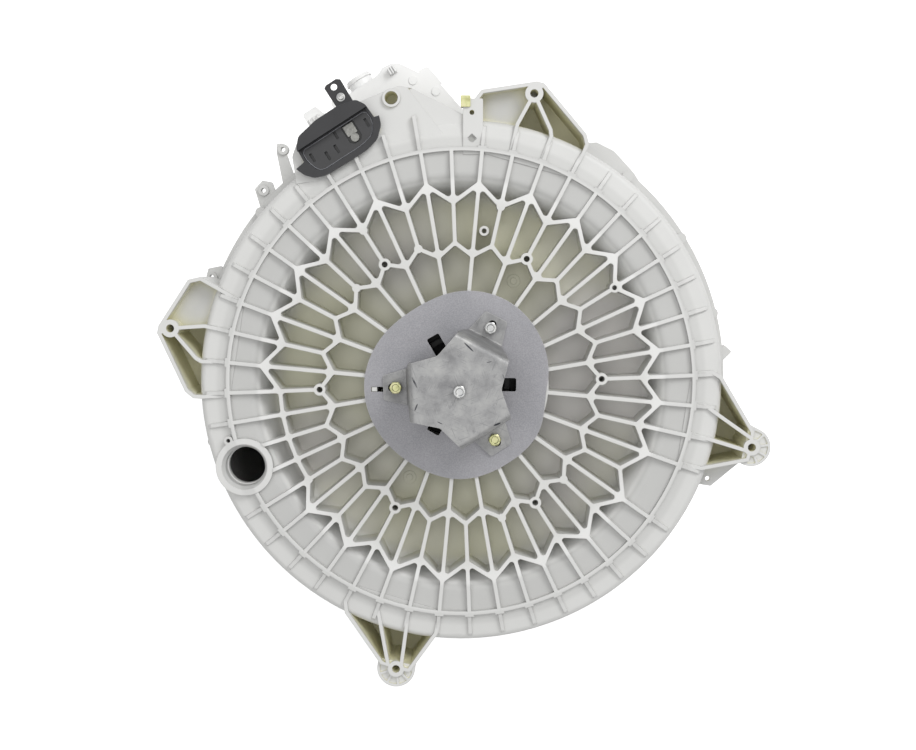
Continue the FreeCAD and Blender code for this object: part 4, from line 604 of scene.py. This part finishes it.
def terminal_tray_bead():
    """The raised bead that frames the terminal tray, painted pale grey as a highlight along its top."""
    radius, corner_cut, sides = 0.5 * MM, 3.0 * MM, 8
    corners = [upper_side(up, side, BLOCK_TOP + radius) for up, side in TRAY_CORNERS]
    line = []
    for before, corner, after in zip(corners[-1:] + corners, corners, corners[1:] + corners[:1]):
        for other in (before, after):
            edge = other - corner
            line.append(corner + edge.normalized() * min(corner_cut, 0.3 * edge.length))
    turns = [math.tau * step / sides for step in range(sides)]
    rings = []
    for before, point, after in zip(line[-1:] + line, line, line[1:] + line[:1]):
        way = (after - before).normalized()
        across = Vector((way.y, -way.x, 0))
        rings.append([point + (across * math.cos(turn) + Vector((0, 0, math.sin(turn)))) * radius
                      for turn in turns])
    mesh = stacked_rings("terminal_tray_bead", [rings], looped=True, sharp=1.0)
    # Black nylon painted a pale grey as a highlight line.
    bead_painted_highlight = small_moulding("nylon_painted_highlight", "#808186", "#6C6D72", NYLON, roughness=0.5,
                            grain_size=1.5385, grain_strength=0.3)
    link_mesh("terminal_tray_bead", mesh, bead_painted_highlight, "tub")


def flanged_screw():
    """The connector's screw: a collar with a dished button head and a deep socket."""
    tip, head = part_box("connector_screw")[0][2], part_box("connector_screw")[1][2]
    seat = head - 2.4 * MM
    # Radius in millimetres and height, from the tip up and into the socket.
    profile = [(1.9, tip), (2.2, tip + 1 * MM), (2.2, seat), (4.6, seat), (4.7, seat + 0.4 * MM),
               (4.5, seat + 0.7 * MM), (3.3, seat + 0.9 * MM), (3.1, seat + 2.0 * MM), (2.6, head),
               (1.7, head), (1.5, head - 1.4 * MM)]
    centre = node_circles("connector_screw")[0]
    rings = [round_ring(centre, radius * MM, height, count=36) for radius, height in profile]
    mesh = stacked_rings("connector_screw_flanged", [rings])
    piece = link_mesh("connector_screw_flanged", mesh, FINISHES["zinc_steel"], "tub")
    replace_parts(piece, "connector_screw")


def perforation_cell(around, up, hole, sheet):
    """One cell of pierced sheet, flat and closed where the hole passes through."""
    build = bmesh.new()
    half_x, half_y = around / 2, up / 2
    frame_points = [(half_x, 0), (half_x, half_y), (0, half_y), (-half_x, half_y), (-half_x, 0),
                    (-half_x, -half_y), (0, -half_y), (half_x, -half_y)]
    sides = len(frame_points)
    levels = []
    for height in (-sheet, 0.0):
        outline = [build.verts.new((x, y, height)) for x, y in frame_points]
        rim = [build.verts.new(point) for point in round_ring(Vector(), hole, height, sides)]
        levels.append((outline, rim))
    (low_outline, low_rim), (high_outline, high_rim) = levels
    for index in range(sides):
        after = (index + 1) % sides
        build.faces.new((high_rim[index], high_outline[index], high_outline[after], high_rim[after]))
        build.faces.new((low_rim[after], low_outline[after], low_outline[index], low_rim[index]))
        build.faces.new((low_rim[index], high_rim[index], high_rim[after], low_rim[after]))
    mesh = bpy.data.meshes.new("perforation_cell")
    build.to_mesh(mesh)
    build.free()
    cell = bpy.data.objects.new("perforation_cell", mesh)
    bpy.context.collection.objects.link(cell)
    return cell


def new_tree(name, sizes):
    """A geometry tree with one named input for each size; returns tree, input and output."""
    tree = bpy.data.node_groups.new(name, "GeometryNodeTree")
    tree.interface.new_socket("Geometry", in_out="INPUT", socket_type="NodeSocketGeometry")
    tree.interface.new_socket("Geometry", in_out="OUTPUT", socket_type="NodeSocketGeometry")
    for size_name, value in sizes.items():
        kind = "NodeSocketInt" if isinstance(value, int) else "NodeSocketFloat"
        socket = tree.interface.new_socket(size_name, in_out="INPUT", socket_type=kind)
        socket.default_value = value
    return tree, add_node(tree, "NodeGroupInput"), add_node(tree, "NodeGroupOutput")


def grown_mesh(name, tree, sizes):
    """Runs a geometry tree with its sizes and returns the result as a plain mesh."""
    seed = bpy.data.objects.new(name + "_seed", bpy.data.meshes.new(name + "_seed"))
    bpy.context.collection.objects.link(seed)
    modifier = seed.modifiers.new(name, "NODES")
    modifier.node_group = tree
    for item in tree.interface.items_tree:
        if item.in_out == "INPUT" and item.name in sizes:
            modifier[item.identifier] = sizes[item.name]
    graph = bpy.context.evaluated_depsgraph_get()
    mesh = bpy.data.meshes.new_from_object(seed.evaluated_get(graph))
    mesh.name = name
    bpy.data.objects.remove(seed)
    return mesh


def calculate(tree, known, steps):
    """Adds results to the known sockets by name, in steps of (result, operation, values),
    where a value is a number or the name of a known socket."""
    for result, operation, *values in steps:
        inputs = {place: known.get(value, value) for place, value in enumerate(values)}
        known[result] = add_node(tree, "ShaderNodeMath", {"operation": operation}, inputs).outputs[0]


def drum_perforation(cell, sizes):
    """Cells in staggered rows, wrapped round the drum, welded and given their finish."""
    tree, entry, result = new_tree("drum_perforation", sizes)
    known = {name: entry.outputs[name] for name in sizes}
    known["cell"] = add_node(tree, "GeometryNodeInputIndex").outputs[0]
    calculate(tree, known, [
        ("cells", "MULTIPLY", "Columns", "Rows"),
        ("rows before", "DIVIDE", "cell", "Columns"),
        ("row", "FLOOR", "rows before"),
        ("column", "FLOORED_MODULO", "cell", "Columns"),
        ("odd row", "FLOORED_MODULO", "row", 2.0),
        ("place in row", "MULTIPLY_ADD", "odd row", 0.5, "column"),
        ("girth", "MULTIPLY", "Radius", math.tau),
        ("pitch", "DIVIDE", "girth", "Columns"),
        ("across", "MULTIPLY", "place in row", "pitch"),
        ("middle of row", "ADD", "row", 0.5),
        ("upward", "MULTIPLY_ADD", "middle of row", "Row height", "Low")])
    points = add_node(tree, "GeometryNodeMeshLine", inputs={"Count": known["cells"]})
    spot = add_node(tree, "ShaderNodeCombineXYZ", inputs={"X": known["across"], "Y": known["upward"]})
    spread = add_node(tree, "GeometryNodeSetPosition",
                      inputs={"Geometry": points.outputs[0], "Position": spot.outputs[0]})
    source = add_node(tree, "GeometryNodeObjectInfo", inputs={"Object": cell})
    copies = add_node(tree, "GeometryNodeInstanceOnPoints",
                      inputs={"Points": spread.outputs[0], "Instance": source.outputs["Geometry"]})
    real = add_node(tree, "GeometryNodeRealizeInstances", inputs={"Geometry": copies.outputs[0]})
    flat = add_node(tree, "GeometryNodeInputPosition")
    part = add_node(tree, "ShaderNodeSeparateXYZ", inputs={"Vector": flat.outputs[0]})
    known.update(along=part.outputs["X"], out=part.outputs["Z"])
    calculate(tree, known, [
        ("turn", "DIVIDE", "along", "Radius"),
        ("reach", "ADD", "out", "Radius"),
        ("sine", "SINE", "turn"),
        ("cosine", "COSINE", "turn"),
        ("x", "MULTIPLY", "cosine", "reach"),
        ("y", "MULTIPLY", "sine", "reach")])
    wrapped = add_node(tree, "ShaderNodeCombineXYZ",
                       inputs={"X": known["x"], "Y": known["y"], "Z": part.outputs["Y"]})
    shell = add_node(tree, "GeometryNodeSetPosition",
                     inputs={"Geometry": real.outputs[0], "Position": wrapped.outputs[0]})
    welded = add_node(tree, "GeometryNodeMergeByDistance",
                      inputs={"Geometry": shell.outputs[0], "Distance": 0.05 * MM})
    painted = add_node(tree, "GeometryNodeSetMaterial",
                       inputs={"Geometry": welded.outputs[0], "Material": FINISHES["stainless"]})
    tree.links.new(painted.outputs[0], result.inputs[0])
    return tree


def perforated_drum_shell():
    """The drum's pierced wall: staggered holes wrapped round, plain bands at both ends."""
    (_, _, low), (radius, _, high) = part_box("drum_shell")
    columns, rows, band, hole, sheet = 96, 14, 22 * MM, 2.6 * MM, 1.0 * MM
    row_height = (high - low - 2 * band) / rows
    cell = perforation_cell(math.tau * radius / columns, row_height, hole, sheet)
    sizes = {"Columns": columns, "Rows": rows, "Radius": radius, "Low": low + band,
             "Row height": row_height}
    mesh = grown_mesh("perforated_drum_shell", drum_perforation(cell, sizes), sizes)
    bpy.data.objects.remove(cell)
    close_shell_ends(mesh, low, high)
    shade_by_angle(mesh, SHARP)
    piece = link_mesh("perforated_drum_shell", mesh, FINISHES["stainless"], "drum")
    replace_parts(piece, "drum_shell")


def close_shell_ends(mesh, low, high):
    """Adds the plain bands above and below the pierced rows, and closes the edges."""
    build = bmesh.new()
    build.from_mesh(mesh)

    def rim_at(level):
        return [edge for edge in build.edges
                if edge.is_boundary and all(abs(v.co.z - level) < 0.01 * MM for v in edge.verts)]

    heights = [vertex.co.z for vertex in build.verts]
    for level, target in ((min(heights), low), (max(heights), high)):
        for grown in bmesh.ops.extrude_edge_only(build, edges=rim_at(level))["geom"]:
            if isinstance(grown, bmesh.types.BMVert):
                grown.co.z = target
    for level in (low, high):
        bmesh.ops.bridge_loops(build, edges=rim_at(level))
    bmesh.ops.recalc_face_normals(build, faces=build.faces)
    build.to_mesh(mesh)
    build.free()


def studio_floor():
    """A pale floor that keeps the shadow and shows white to the camera."""
    mesh = bpy.data.meshes.new("studio_floor")
    half = 6.0
    mesh.from_pydata([(-half, -half, 0), (half, -half, 0), (half, half, 0), (-half, half, 0)],
                     [], [(0, 1, 2, 3)])
    floor = bpy.data.objects.new("studio_floor", mesh)
    bpy.context.collection.objects.link(floor)
    floor.location.z = cad_box[0][2] - 0.5 * MM
    material = bpy.data.materials.new("studio_floor")
    material.use_nodes = True
    tree = material.node_tree
    shader = tree.nodes["Principled BSDF"]
    shader.inputs["Base Color"].default_value = linear("#E9E9E9")
    shader.inputs["Roughness"].default_value = 0.9
    path = add_node(tree, "ShaderNodeLightPath")
    seen = add_node(tree, "ShaderNodeMath", {"operation": "ADD", "use_clamp": True},
                    {0: path.outputs["Is Camera Ray"], 1: path.outputs["Is Glossy Ray"]})
    white = add_node(tree, "ShaderNodeEmission", inputs={"Color": grey(1.0), "Strength": 0.55})
    both = add_node(tree, "ShaderNodeAddShader", inputs={0: shader.outputs["BSDF"],
                                                         1: white.outputs["Emission"]})
    mixed = add_node(tree, "ShaderNodeMixShader", inputs={"Fac": seen.outputs["Value"],
                                                          1: shader.outputs["BSDF"],
                                                          2: both.outputs["Shader"]})
    tree.links.new(mixed.outputs["Shader"], tree.nodes["Material Output"].inputs["Surface"])
    mesh.materials.append(material)


def studio_light(name, place, width, power):
    """A round soft lamp that is aimed at the middle of the ribbed face."""
    aim = Vector((0.0, 0.0, 0.4))
    lamp = bpy.data.lights.new(name, "AREA")
    lamp.shape = "DISK"
    lamp.size = width
    lamp.energy = power
    holder = bpy.data.objects.new(name, lamp)
    holder.location = place
    holder.rotation_euler = (aim - Vector(place)).to_track_quat("-Z", "Y").to_euler()
    bpy.context.collection.objects.link(holder)


def studio_world():
    """Even grey light all round that shows white to the camera."""
    world = bpy.data.worlds.new("studio")
    bpy.context.scene.world = world
    world.use_nodes = True
    tree = world.node_tree
    background = tree.nodes["Background"]
    path = add_node(tree, "ShaderNodeLightPath")
    strength = add_node(tree, "ShaderNodeMapRange",
                        inputs={"Value": path.outputs["Is Camera Ray"], "To Min": 0.5, "To Max": 1.0})
    background.inputs["Color"].default_value = grey(1.0)
    tree.links.new(strength.outputs["Result"], background.inputs["Strength"])


def photograph_camera():
    """The camera looks down on the ribbed face, a little from the upper side."""
    camera = bpy.data.cameras.new("photograph_camera")
    camera.sensor_width = 36.0
    camera.lens = 51.09
    holder = bpy.data.objects.new("photograph_camera", camera)
    holder.location = Vector((14.4, 119.7, 1866.4)) * MM
    aim = Vector((-2.6, 10.2, 470.0)) * MM
    back = (holder.location - aim).normalized()
    right = Vector((0, 1, 0)).cross(back).normalized()
    up = back.cross(right)
    holder.rotation_euler = Matrix((right, up, back)).transposed().to_euler()
    bpy.context.collection.objects.link(holder)
    bpy.context.scene.camera = holder


dress_frame()
perforated_drum_shell()
detailed_bolts()
flanged_screw()
terminal_tray_bead()
studio_floor()
studio_light("upper_right_key", (1.7, 2.1, 2.9), width=1.8, power=62.0)
studio_light("overhead_fill", (-0.4, 0.2, 3.4), width=3.5, power=40.0)
studio_world()
photograph_camera()
bpy.context.scene.view_settings.view_transform = "Standard"
